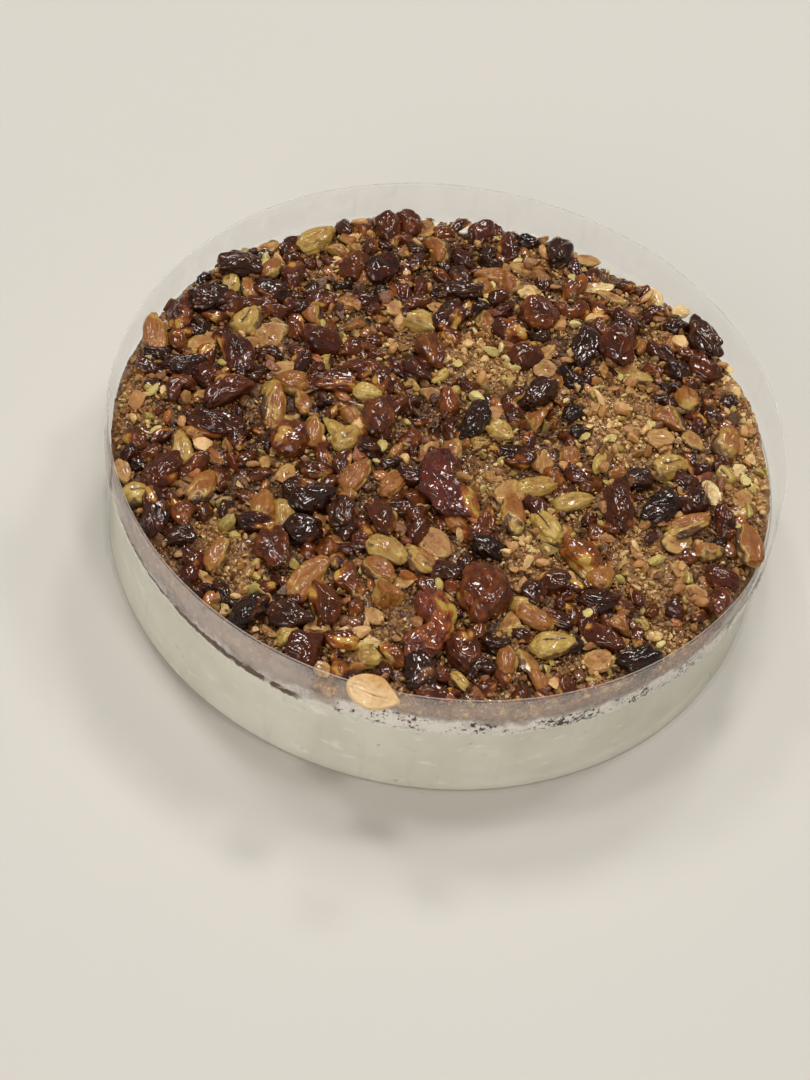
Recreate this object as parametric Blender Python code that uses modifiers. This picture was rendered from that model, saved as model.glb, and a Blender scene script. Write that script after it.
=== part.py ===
"""Mastic pistachio ice cream cake: a low round cream cake inside a clear film collar, with a rough topping
of chopped nuts, caramel-glazed nuts and whole kernels. Metres, +Z up, origin at the centre of the foot."""

import math
import random

import bmesh
import bpy
from mathutils import Matrix, Vector, noise

MM = 0.001

# Driving sizes
COLLAR_RADIUS = 100 * MM
COLLAR_HEIGHT = 46 * MM
COLLAR_WALL = 0.4 * MM
COLLAR_OVERLAP_DEG = 16
COLLAR_END_DEG = 203
CREAM_HEIGHT = 31 * MM
TOPPING_HEIGHT = 39 * MM
FOOT_BEVEL = 1.2 * MM
EDGE_DROP = 3 * MM
GAP = 0.3 * MM
RAISED_GAP = 0.4 * MM
CAKE_RADIUS = COLLAR_RADIUS - COLLAR_WALL - GAP
CAKE_SIDES = 72
COLLAR_SIDES = 84

# Slow waves of the cream's top: height and length
CREAM_WAVE = 1.6 * MM
CREAM_WAVE_LENGTH = 26 * MM
# The topping's mound, its soft lumps, and how far it stays from the film behind and on the right
MOUND = 1.2 * MM
LUMP = 2.0 * MM
LUMP_LENGTH = 22 * MM
BACK_GAP = 5.5 * MM
RIGHT_GAP = 1.4 * MM
EDGE_ROUGHNESS = 1.0 * MM
# Rings of points on the cream's top and, as shares of the cake's radius, on the core's top
CREAM_RINGS = (0, 88 * MM, CAKE_RADIUS)
CORE_RINGS = (0, 0.20, 0.40, 0.60, 0.78, 0.94)
# How much wider than the cream the shape is that cuts the core's foot
CUTTER_GROWTH = 1.02
# The most that a piece leans about its long side and about its short side
ROLL_DEG = 12
PITCH_DEG = 7

# Pieces at least this long are solids of their own, and shorter ones are fused to the topping
BERRY_LENGTH = 14
# Fused pieces shorter than this have the fewest sides
CHIP_LENGTH = 11

# What lies on the topping: x, y, length, width in millimetres and the turn of the long side in degrees
PIECES = {
    "hooked_glazed": (
        (3, -20, 26, 16, 118), (4, -71, 24, 13, 265),
    ),
    "dark_glazed": (
        (72, 58, 16, 9, 120), (36, 45, 18, 8, 85), (7, 7, 17, 8, 75), (-5, 58, 16, 7, 15),
        (-36, -34, 15, 11, 0), (-36, -46, 12, 9, 20), (-25, -39, 14, 9, 100), (24, 22, 16, 9, 60),
        (33, 31, 11, 6, -40), (64, -14, 15, 9, 60), (57, -5, 10, 7, 20), (4, -87, 13, 9, 100),
        (6, -52, 10, 8, 0), (-72, 51, 14, 9, 10), (24, 83, 13, 9, 90), (-81, 7, 15, 8, 20),
        (63, -69, 13, 8, 25), (-45, -77, 14, 8, 65), (-34, -75, 13, 9, 150), (63, 61, 8, 6, 0),
    ),
    "red_glazed": (
        (-66, 0, 15, 9, 45), (-67, -13, 17, 9, 0), (-45, -15, 12, 11, 0), (-21, 0, 15, 10, 100),
        (-78, -34, 15, 9, 60), (-77, -51, 16, 8, 105), (-42, -55, 15, 9, 110), (52, -17, 18, 9, 105),
        (18, -57, 18, 15, 80), (15, -77, 13, 9, 120), (50, -51, 13, 7, 20),
        (46, 47, 14, 12, 80), (20, 53, 12, 11, 0), (-67, 15, 18, 9, 115), (-37, 10, 17, 7, 10),
        (-43, 27, 13, 10, 0), (-7, 45, 12, 9, 60), (-86, 27, 15, 8, 100), (-56, 53, 13, 7, 80),
        (-80, 36, 14, 9, 25), (83, -13, 10, 6, 100), (84, -43, 12, 7, 70), (-31, 80, 11, 9, 90),
    ),
    "amber_glazed": (
        (-10, 31, 16, 9, 110), (-15, -38, 13, 9, 120), (-20, -60, 10, 7, 110), (-25, -70, 15, 9, 110),
        (-18, -80, 12, 7, 10), (37, -48, 10, 8, 30), (44, -37, 15, 10, -30), (-69, -48, 10, 7, 90),
        (-5, -33, 8, 7, 0),
    ),
    "roasted_kernel": (
        (-52, -2, 17, 7, 95), (-44, 1, 10, 5, 110), (-66, -38, 14, 7, 80), (-57, -60, 12, 6, 75),
        (-48, -40, 13, 7, 95), (-24, -24, 14, 7, 65), (-13, -23, 14, 6, 72), (-31, -62, 18, 8, 62),
        (-12, -56, 11, 7, -30), (33, -62, 12, 6, -20), (27, -77, 10, 6, 100), (22, -26, 15, 7, 100),
        (73, -18, 14, 7, 35), (91, -20, 17, 8, 100), (80, -26, 9, 6, 20), (82, 17, 12, 8, 80),
        (-92, 18, 16, 7, 108), (-63, 53, 10, 6, 75), (-68, 43, 10, 5, 120), (50, -43, 9, 7, 60),
    ),
    "green_kernel": (
        (-75, -24, 13, 6, 111), (-85, -45, 9, 8, 30), (-11, -49, 13, 8, -20), (-10, -85, 7, 7, 0),
        (39, -70, 13, 8, 20), (28, -14, 13, 7, 30), (32, -28, 14, 7, 125), (39, -17, 13, 6, 30),
        (66, 3, 13, 8, 35), (54, 37, 8, 5, 0), (15, 4, 9, 6, -30), (-52, 70, 14, 8, 50),
        (-29, -10, 11, 7, 60), (16, -87, 9, 4, -40), (-26, 9, 9, 6, 0),
    ),
    "split_half": (
        (2, -42, 12, 9, -40), (52, -71, 9, 8, 60), (79, -4, 9, 6, 110), (25, 33, 8, 7, 0),
        (62, 14, 9, 8, 0), (72, 16, 9, 6, -50), (16, 64, 9, 5, 0), (36, 72, 12, 5, 15),
        (-77, 19, 12, 7, 40), (-90, -36, 9, 5, -60), (72, -33, 7, 5, 100), (88, -3, 8, 6, 80),
        (-52, 13, 8, 6, 40), (-24, 47, 8, 6, -40), (33, 84, 8, 6, 0), (-66, 63, 9, 5, 50),
    ),
}

# Height of each kind as a share of its width, how far its middle stands over the crumbs, and its colour
KINDS = {
    "hooked_glazed": {"height": 0.60, "lift": 0.24, "colour": (0.160, 0.035, 0.030), "roughness": 0.2},
    "dark_glazed": {"height": 0.85, "lift": 0.24, "colour": (0.045, 0.018, 0.012), "roughness": 0.2},
    "red_glazed": {"height": 0.85, "lift": 0.24, "colour": (0.130, 0.030, 0.015), "roughness": 0.2},
    "amber_glazed": {"height": 0.80, "lift": 0.22, "colour": (0.300, 0.095, 0.025), "roughness": 0.2},
    "roasted_kernel": {"height": 0.80, "lift": 0.26, "colour": (0.430, 0.190, 0.060), "roughness": 0.45},
    "green_kernel": {"height": 0.80, "lift": 0.26, "colour": (0.400, 0.330, 0.090), "roughness": 0.5},
    "split_half": {"height": 0.45, "lift": 0.30, "colour": (0.580, 0.360, 0.150), "roughness": 0.55},
}

# One pale split half that lies across the collar's rim at the front
RIM_HALF = {
    "x": -7, "out": 1.2, "drop": 0.95,
    "length": 16, "width": 9.4, "height": 4, "turn": -10, "lean": 26,
}
RIM_HALF_SEED = 3

# Coarse chips on the bare crumbs: their number, half lengths, and how far out they lie
CHIP_COUNT = 56
CHIP_SEED = 7
CHIP_REACH = (1.7 * MM, 3.2 * MM)
CHIP_SPREAD = 0.96


def clear_scene():
    for obj in list(bpy.data.objects):
        bpy.data.objects.remove(obj, do_unlink=True)


def new_collection(name):
    collection = bpy.data.collections.new(name)
    bpy.context.scene.collection.children.link(collection)
    return collection


def new_material(name, colour, roughness, alpha=1.0):
    material = bpy.data.materials.new(name)
    material.use_nodes = True
    shader = material.node_tree.nodes["Principled BSDF"]
    shader.inputs["Base Color"].default_value = (*colour, 1.0)
    shader.inputs["Roughness"].default_value = roughness
    shader.inputs["Metallic"].default_value = 0.0
    shader.inputs["Alpha"].default_value = alpha
    return material


def add_object(name, mesh, collection, material=None):
    obj = bpy.data.objects.new(name, mesh)
    collection.objects.link(obj)
    if material:
        mesh.materials.append(material)
    return obj


def hide_helper(obj):
    obj.hide_render = True
    obj.display_type = "WIRE"


def bake_modifiers(obj):
    """The object's modifiers become its mesh."""
    graph = bpy.context.evaluated_depsgraph_get()
    obj.data = bpy.data.meshes.new_from_object(obj.evaluated_get(graph))
    obj.modifiers.clear()


def cream_top(x, y):
    """Height of the cream's slightly wavy top, the same on both sides of the joint with the topping."""
    wave = noise.noise(Vector((x, y, 0.0)) / CREAM_WAVE_LENGTH)
    return CREAM_HEIGHT + CREAM_WAVE * wave


def topping_top(x, y):
    """Height of the crumbs between the larger pieces: a low mound with soft lumps."""
    radius = math.hypot(x, y)
    drop = MOUND * (radius / CAKE_RADIUS) ** 2
    lumps = LUMP * noise.noise(Vector((x, y, 4 * MM)) / LUMP_LENGTH)
    return TOPPING_HEIGHT - drop + lumps


def topping_edge(angle):
    """Radius that the topping reaches: up to the film in front and short of it behind, all unevenly."""
    behind = BACK_GAP * max(0.0, math.sin(angle)) ** 2
    right = RIGHT_GAP * max(0.0, math.cos(angle))
    ragged = EDGE_ROUGHNESS * (1 + noise.noise(Vector((math.cos(angle), math.sin(angle), 0.3)) * 5))
    return CAKE_RADIUS - behind - right - ragged


def turned_mesh(name, profile, sides):
    """A closed turned solid. Its (radius, height) profile runs from the top's middle to the foot's."""
    mesh = bpy.data.meshes.new(name)
    edges = [(i, i + 1) for i in range(len(profile) - 1)]
    mesh.from_pydata([(r, 0, z) for r, z in profile], edges, [])
    obj = bpy.data.objects.new(name, mesh)
    bpy.context.scene.collection.objects.link(obj)
    screw = obj.modifiers.new("Turn", "SCREW")
    screw.steps = screw.render_steps = sides
    screw.use_merge_vertices = True
    screw.merge_threshold = 0.00001
    bake_modifiers(obj)
    made = obj.data
    bpy.data.objects.remove(obj)
    return made


def make_cream(collection):
    """The pale cream cake, with its foot edge eased and its top following cream_top."""
    profile = [(r, CREAM_HEIGHT) for r in CREAM_RINGS]
    profile += [(CAKE_RADIUS, FOOT_BEVEL), (CAKE_RADIUS - FOOT_BEVEL, 0), (0, 0)]
    mesh = turned_mesh("cream_cake", profile, CAKE_SIDES)
    for vertex in mesh.vertices:
        if vertex.co.z > CREAM_HEIGHT / 2:
            vertex.co.z = cream_top(vertex.co.x, vertex.co.y)
    return add_object("cream_cake", mesh, collection, new_material("cream", (0.60, 0.58, 0.47), 0.55))


def core_mesh():
    """The topping's bare core, under the larger pieces, reaching down into the cream, which then cuts it.
    The profile's heights only mark which rule gives a point its real height."""
    foot, rim, top = 0, 1, 2
    profile = [(share * CAKE_RADIUS, top) for share in CORE_RINGS]
    profile += [(CAKE_RADIUS, rim), (CAKE_RADIUS, foot), (0, foot)]
    mesh = turned_mesh("nut_topping", profile, CAKE_SIDES)
    for vertex in mesh.vertices:
        mark = round(vertex.co.z)
        angle = math.atan2(vertex.co.y, vertex.co.x)
        pull_in = topping_edge(angle) / CAKE_RADIUS
        x, y = vertex.co.x * pull_in, vertex.co.y * pull_in
        if mark == top:
            z = topping_top(x, y)
        elif mark == rim:
            z = topping_top(x, y) - EDGE_DROP
        else:
            z = CREAM_HEIGHT / 2
        vertex.co = (x, y, z)
    return mesh


def raised_cream(cream):
    """The cream's shape moved up by the gap and a little wider, to cut the foot of the core."""
    mesh = cream.data.copy()
    wider = Matrix.Diagonal((CUTTER_GROWTH, CUTTER_GROWTH, 1.0, 1.0))
    mesh.transform(Matrix.Translation((0, 0, GAP)) @ wider)
    return mesh


def lumpy(point, seed, amount, size):
    """The point moved out or in by a smooth random share of its distance from the middle."""
    return point * (1 + amount * noise.noise(point * size + Vector((seed * 3.7, seed * 1.3, seed * 2.1))))


def glazed_shape(point, seed):
    """A wrinkled, bent nut under thick glaze. The point lies on a unit ball, with the length along X."""
    creased = lumpy(point, seed, 0.30, 1.3)
    bend = 0.16 * math.sin(seed * 2.4)
    return Vector((creased.x, creased.y + bend * (1 - 2 * creased.x ** 2), creased.z))


def hooked_shape(point, seed):
    """A large glazed nut curled round a hollow in one long side."""
    hollow = 0.8 * math.exp(-((point.x - 0.05) / 0.3) ** 2) * max(0.0, -point.y)
    curled = Vector((point.x, point.y + hollow + 0.12 * (1 - 2 * point.x ** 2), point.z))
    return lumpy(curled, seed, 0.18, 1.3)


def kernel_shape(point, seed):
    """A whole kernel: an egg form, narrower at one end, with a shallow seam along the top."""
    taper = 1 - 0.22 * point.x
    seam = 0.10 * max(0.0, point.z) * max(0.0, 1 - abs(point.y) / 0.35)
    shaped = Vector((point.x, point.y * taper, (point.z - seam) * taper))
    return lumpy(shaped, seed, 0.10, 1.5)


def half_shape(point, seed):
    """A split half: flat on top, round below, pointed at one end."""
    taper = 1 - 0.30 * max(0.0, point.x)
    flat = min(point.z, 0.45)
    return lumpy(Vector((point.x, point.y * taper, flat)), seed, 0.12, 1.4)


def rim_half_shape(point, seed):
    """A split half that is round at its left end and drawn to a point at its right end."""
    taper = 1 - 0.55 * max(0.0, point.x) ** 2
    crown = 0.10 * (1 - point.x ** 2) * max(0.0, point.y)
    flat = min(point.z, 0.45)
    return lumpy(Vector((point.x, point.y * taper + crown, flat)), seed, 0.06, 1.4)


SHAPES = {
    "hooked_glazed": hooked_shape,
    "dark_glazed": glazed_shape,
    "red_glazed": glazed_shape,
    "amber_glazed": glazed_shape,
    "roasted_kernel": kernel_shape,
    "green_kernel": kernel_shape,
    "split_half": half_shape,
}


def ball_mesh(name, shape, half_size, placing, seed, subdivisions):
    """A ball shaped by a rule, sized, then set in its place."""
    bm = bmesh.new()
    bmesh.ops.create_icosphere(bm, subdivisions=subdivisions, radius=1.0)
    for vertex in bm.verts:
        shaped = shape(vertex.co, seed)
        vertex.co = placing @ Vector([part * half for part, half in zip(shaped, half_size)])
    mesh = bpy.data.meshes.new(name)
    bm.to_mesh(mesh)
    bm.free()
    return mesh


def piece_placing(kind, row, seed):
    """The half sizes and the matrix of a piece that lies on the topping."""
    x, y, length, width, turn = row
    x, y, length, width = (value * MM for value in (x, y, length, width))
    height = KINDS[kind]["height"] * width
    level = topping_top(x, y) + KINDS[kind]["lift"] * height
    roll, pitch = ROLL_DEG * math.sin(seed * 1.9), PITCH_DEG * math.sin(seed * 3.1)
    placing = Matrix.Translation((x, y, level))
    placing @= Matrix.Rotation(math.radians(turn), 4, "Z")
    placing @= Matrix.Rotation(math.radians(pitch), 4, "Y")
    placing @= Matrix.Rotation(math.radians(roll), 4, "X")
    return (length / 2, width / 2, height / 2), placing


def keep_in_collar(mesh):
    """Moves a piece towards the middle until the film clears it."""
    limit = CAKE_RADIUS - GAP
    furthest = max(mesh.vertices, key=lambda vertex: vertex.co.xy.length)
    excess = furthest.co.xy.length - limit
    if excess > 0:
        step = -excess * furthest.co.xy.normalized()
        mesh.transform(Matrix.Translation((step.x, step.y, 0)))


def swollen(mesh, name):
    """A copy that stands out from the mesh by the gap that pieces keep to each other."""
    bm = bmesh.new()
    bm.from_mesh(mesh)
    bm.normal_update()
    for vertex, normal in [(vertex, vertex.normal.copy()) for vertex in bm.verts]:
        vertex.co += RAISED_GAP * normal
    copy = bpy.data.meshes.new(name)
    bm.to_mesh(copy)
    bm.free()
    return copy


def keep_largest(mesh):
    """Drops the loose scraps that a cut leaves."""
    bm = bmesh.new()
    bm.from_mesh(mesh)
    left = set(bm.verts)
    islands = []
    while left:
        island = []
        edge_of_search = [left.pop()]
        while edge_of_search:
            vertex = edge_of_search.pop()
            island.append(vertex)
            for edge in vertex.link_edges:
                other = edge.other_vert(vertex)
                if other in left:
                    left.remove(other)
                    edge_of_search.append(other)
        islands.append(island)
    islands.sort(key=len)
    scraps = [vertex for island in islands[:-1] for vertex in island]
    bmesh.ops.delete(bm, geom=scraps, context="VERTS")
    bm.to_mesh(mesh)
    bm.free()


def cut(obj, cutter_meshes, helpers):
    """Takes the cutters' shapes out of the object."""
    for mesh in cutter_meshes:
        cutter = add_object(obj.name + "_cutter", mesh, helpers)
        hide_helper(cutter)
        boolean = obj.modifiers.new("Cut", "BOOLEAN")
        boolean.operation = "DIFFERENCE"
        boolean.solver = "MANIFOLD"
        boolean.object = cutter
        bake_modifiers(obj)
        bpy.data.objects.remove(cutter)
    keep_largest(obj.data)


def sphere_round(mesh):
    """The middle and the reach of a piece."""
    middle = sum((vertex.co for vertex in mesh.vertices), Vector()) / len(mesh.vertices)
    return middle, max((vertex.co - middle).length for vertex in mesh.vertices)


def near(first, second):
    (middle, reach), (other, other_reach) = first, second
    return (middle - other).length < reach + other_reach + RAISED_GAP


def make_collar(collection):
    """The clear film: one strip wound once round the cake, whose outer end overlaps its inner end."""
    overlap = math.radians(COLLAR_OVERLAP_DEG)
    start = math.radians(COLLAR_END_DEG) - overlap
    sweep = 2 * math.pi + overlap
    steps = COLLAR_SIDES + 4
    inner = COLLAR_RADIUS - COLLAR_WALL / 2
    bm = bmesh.new()
    line = []
    for i in range(steps + 1):
        turn = sweep * i / steps
        lapped = max(0.0, min(1.0, (turn - 2 * math.pi + overlap) / overlap))
        radius = inner + (COLLAR_WALL + GAP) * lapped
        angle = start + turn
        line.append(bm.verts.new((radius * math.cos(angle), radius * math.sin(angle), GAP)))
    edges = [bm.edges.new(pair) for pair in zip(line, line[1:])]
    raised = bmesh.ops.extrude_edge_only(bm, edges=edges)["geom"]
    for vertex in [item for item in raised if isinstance(item, bmesh.types.BMVert)]:
        vertex.co.z = COLLAR_HEIGHT
    bmesh.ops.recalc_face_normals(bm, faces=bm.faces)
    mesh = bpy.data.meshes.new("film_collar")
    bm.to_mesh(mesh)
    bm.free()
    film = new_material("film", (0.90, 0.92, 0.92), 0.08, 0.25)
    collar = add_object("film_collar", mesh, collection, film)
    shell = collar.modifiers.new("Film", "SOLIDIFY")
    shell.thickness = COLLAR_WALL
    shell.offset = 0
    return collar


def make_rim_half(collection, material):
    """The split half across the rim, leaning outwards and just clear of the film's edge."""
    size = [RIM_HALF[key] * MM / 2 for key in ("length", "width", "height")]
    x = RIM_HALF["x"] * MM
    y = -math.sqrt(COLLAR_RADIUS ** 2 - x ** 2) - RIM_HALF["out"] * MM
    placing = Matrix.Translation((x, y, COLLAR_HEIGHT - RIM_HALF["drop"] * MM))
    placing @= Matrix.Rotation(math.radians(RIM_HALF["lean"]), 4, "X")
    placing @= Matrix.Rotation(math.radians(RIM_HALF["turn"]), 4, "Z")
    placing @= Matrix.Translation((0, 0, size[2] + 2 * GAP))
    mesh = ball_mesh("split_half_rim", rim_half_shape, size, placing, RIM_HALF_SEED, 2)
    return add_object("split_half_rim", mesh, collection, material)


def make_loose_pieces(collection, helpers, materials, core):
    """The largest pieces, each a solid of its own, cut clear of the core and of each other."""
    core_cutter = swollen(core.data, "core_cutter")
    placed = []
    seed = 0
    for kind, rows in PIECES.items():
        long_rows = [row for row in rows if row[2] >= BERRY_LENGTH]
        for number, row in enumerate(long_rows, 1):
            seed += 1
            name = f"{kind}_{number:02d}"
            half_size, placing = piece_placing(kind, row, seed)
            subdivisions = 3 if kind == "hooked_glazed" else 2
            mesh = ball_mesh(name, SHAPES[kind], half_size, placing, seed, subdivisions)
            keep_in_collar(mesh)
            extent = sphere_round(mesh)
            outer = swollen(mesh, name + "_swollen")
            obj = add_object(name, mesh, collection, materials[kind])
            neighbours = [other.copy() for other, span in placed if near(extent, span)]
            cut(obj, [core_cutter.copy(), *neighbours], helpers)
            placed.append((outer, extent))
    return placed


def fuse_small_pieces(topping, helpers, placed):
    """Fuses the shorter pieces and the coarse chips to the core, all clear of the loose pieces."""
    fused = new_collection("fused")
    seed = 100
    taken = [span for _, span in placed]
    for kind, rows in PIECES.items():
        for row in (row for row in rows if row[2] < BERRY_LENGTH):
            seed += 1
            half_size, placing = piece_placing(kind, row, seed)
            subdivisions = 2 if row[2] >= CHIP_LENGTH else 1
            mesh = ball_mesh("fused_piece", SHAPES[kind], half_size, placing, seed, subdivisions)
            keep_in_collar(mesh)
            extent = sphere_round(mesh)
            obj = add_object(f"fused_{seed}", mesh, fused)
            cut(obj, [other.copy() for other, span in placed if near(extent, span)], helpers)
            taken.append(extent)
    scatter_chips(fused, taken)
    union = topping.modifiers.new("Fuse", "BOOLEAN")
    union.operation = "UNION"
    union.solver = "MANIFOLD"
    union.operand_type = "COLLECTION"
    union.collection = fused
    bake_modifiers(topping)
    keep_largest(topping.data)
    for obj in list(fused.objects):
        bpy.data.objects.remove(obj)
    bpy.data.collections.remove(fused)


def scatter_chips(fused, taken):
    """Coarse chips on the bare crumbs, spread by an even spiral with a little seeded drift."""
    draw = random.Random(CHIP_SEED)
    golden = math.pi * (3 - math.sqrt(5))
    for i in range(CHIP_COUNT):
        angle = i * golden + draw.uniform(-0.2, 0.2)
        radius = CHIP_SPREAD * math.sqrt((i + 0.5) / CHIP_COUNT) * topping_edge(angle)
        x, y = radius * math.cos(angle), radius * math.sin(angle)
        reach = draw.uniform(*CHIP_REACH)
        spot = Vector((x, y, topping_top(x, y)))
        if any((spot - middle).length < reach + span + GAP for middle, span in taken):
            continue
        placing = Matrix.Translation(spot + Vector((0, 0, 0.25 * reach)))
        placing @= Matrix.Rotation(draw.uniform(0, math.pi), 4, "Z")
        half_size = (reach, 0.75 * reach, 0.6 * reach)
        mesh = ball_mesh("chip", half_shape, half_size, placing, i, 1)
        add_object(f"chip_{i}", mesh, fused)


def main():
    clear_scene()
    cake = new_collection("mastic_pistachio_cake")
    helpers = new_collection("helpers")
    materials = {name: new_material(name, kind["colour"], kind["roughness"]) for name, kind in KINDS.items()}
    materials["crumbs"] = new_material("crumbs", (0.30, 0.17, 0.08), 0.7)
    cream = make_cream(cake)
    make_collar(cake)
    make_rim_half(cake, materials["split_half"])
    topping = add_object("nut_topping", core_mesh(), cake, materials["crumbs"])
    cut(topping, [raised_cream(cream)], helpers)
    placed = make_loose_pieces(cake, helpers, materials, topping)
    fuse_small_pieces(topping, helpers, placed)
    bpy.data.collections.remove(helpers)


main()
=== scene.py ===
"""Looks of a mastic pistachio ice cream cake: pale cream in a clear film collar, under a rough bed of chopped
nuts, caramel and glazed kernels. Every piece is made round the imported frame, in metres, +Z up."""

import math
import random

import bpy
import numpy as np
from bpy.props import FloatProperty, FloatVectorProperty, IntProperty, PointerProperty
from mathutils import Matrix, Vector, noise


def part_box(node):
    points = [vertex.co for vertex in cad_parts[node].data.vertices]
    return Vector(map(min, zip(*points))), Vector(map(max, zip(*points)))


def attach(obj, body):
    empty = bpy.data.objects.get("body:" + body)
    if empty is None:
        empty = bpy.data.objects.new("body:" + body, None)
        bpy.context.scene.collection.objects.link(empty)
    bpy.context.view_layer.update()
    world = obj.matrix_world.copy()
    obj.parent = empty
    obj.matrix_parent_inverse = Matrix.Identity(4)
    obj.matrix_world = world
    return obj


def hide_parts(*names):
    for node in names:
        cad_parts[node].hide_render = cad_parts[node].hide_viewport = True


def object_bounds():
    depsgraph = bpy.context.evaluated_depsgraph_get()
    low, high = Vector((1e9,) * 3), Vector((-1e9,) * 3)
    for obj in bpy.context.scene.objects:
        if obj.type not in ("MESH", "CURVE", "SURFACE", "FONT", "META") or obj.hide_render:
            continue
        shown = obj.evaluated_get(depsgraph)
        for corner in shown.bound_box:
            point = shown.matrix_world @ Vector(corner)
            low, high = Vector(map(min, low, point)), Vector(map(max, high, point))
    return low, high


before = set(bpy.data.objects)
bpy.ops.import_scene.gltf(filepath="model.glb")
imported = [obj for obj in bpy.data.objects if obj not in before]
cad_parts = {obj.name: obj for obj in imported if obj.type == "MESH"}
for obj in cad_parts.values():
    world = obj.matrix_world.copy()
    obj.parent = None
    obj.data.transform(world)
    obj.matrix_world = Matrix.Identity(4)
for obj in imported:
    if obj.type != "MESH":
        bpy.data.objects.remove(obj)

bl_info = {
    "name": "Mastic pistachio cake",
    "version": (1, 0, 0),
    "blender": (4, 5, 0),
    "location": "View3D > Sidebar > Cake",
    "description": "Makes the cream, film, nut bed, kernels and stage of a mastic pistachio ice cream cake",
    "category": "Add Mesh",
}

MM = 0.001
BODY = "root"
CAD_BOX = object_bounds()

# Sizes that the frame gives
CAKE_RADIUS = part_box("cream_cake")[1].x
FILM_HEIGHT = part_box("film_collar")[1].z

# Sizes that follow the solids' own rules
CREAM_LEVEL = 31 * MM
TOPPING_LEVEL = 39 * MM
FILM_RADIUS = 100 * MM
FILM_WALL = 0.4 * MM
FILM_OVERLAP = math.radians(16)
FILM_END = math.radians(203)
EDGE_DROP = 3 * MM
GAP = 0.3 * MM
BERRY_LENGTH = 14

# Sizes that the looks alone use
FINE_FILLER_LENGTH = 8.5
SHOWN_WALL = 0.22 * MM
FOOT_BEVEL = 1.2 * MM
RIM_HALF_SHARE = 0.94
RIM_HALF_SETTLED = 0.2 * MM
CREAM_SIDES = 256
FILM_SIDES = 288
FILM_ROWS = 12
BED_GRID = 284
BED_LEVELS = 8
CARAMEL_DROPS = 190
LINE_TRIES = 12000
FLOOR_SIZE = 8
FILL_SPOT = (-0.6, -1.55, 0.9)
FILL_SIZE = 0.8
LAMP_AIM = (0, 0, 0.03)
ROOM_COLOUR = (1.0, 0.985, 0.955, 1)

# Where each scatter's random numbers start
SEEDS = {"crumbs": 11, "chunks": 51, "fillers": 71, "crumb_line": 81, "kernels": 91, "caramel": 101}

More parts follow.
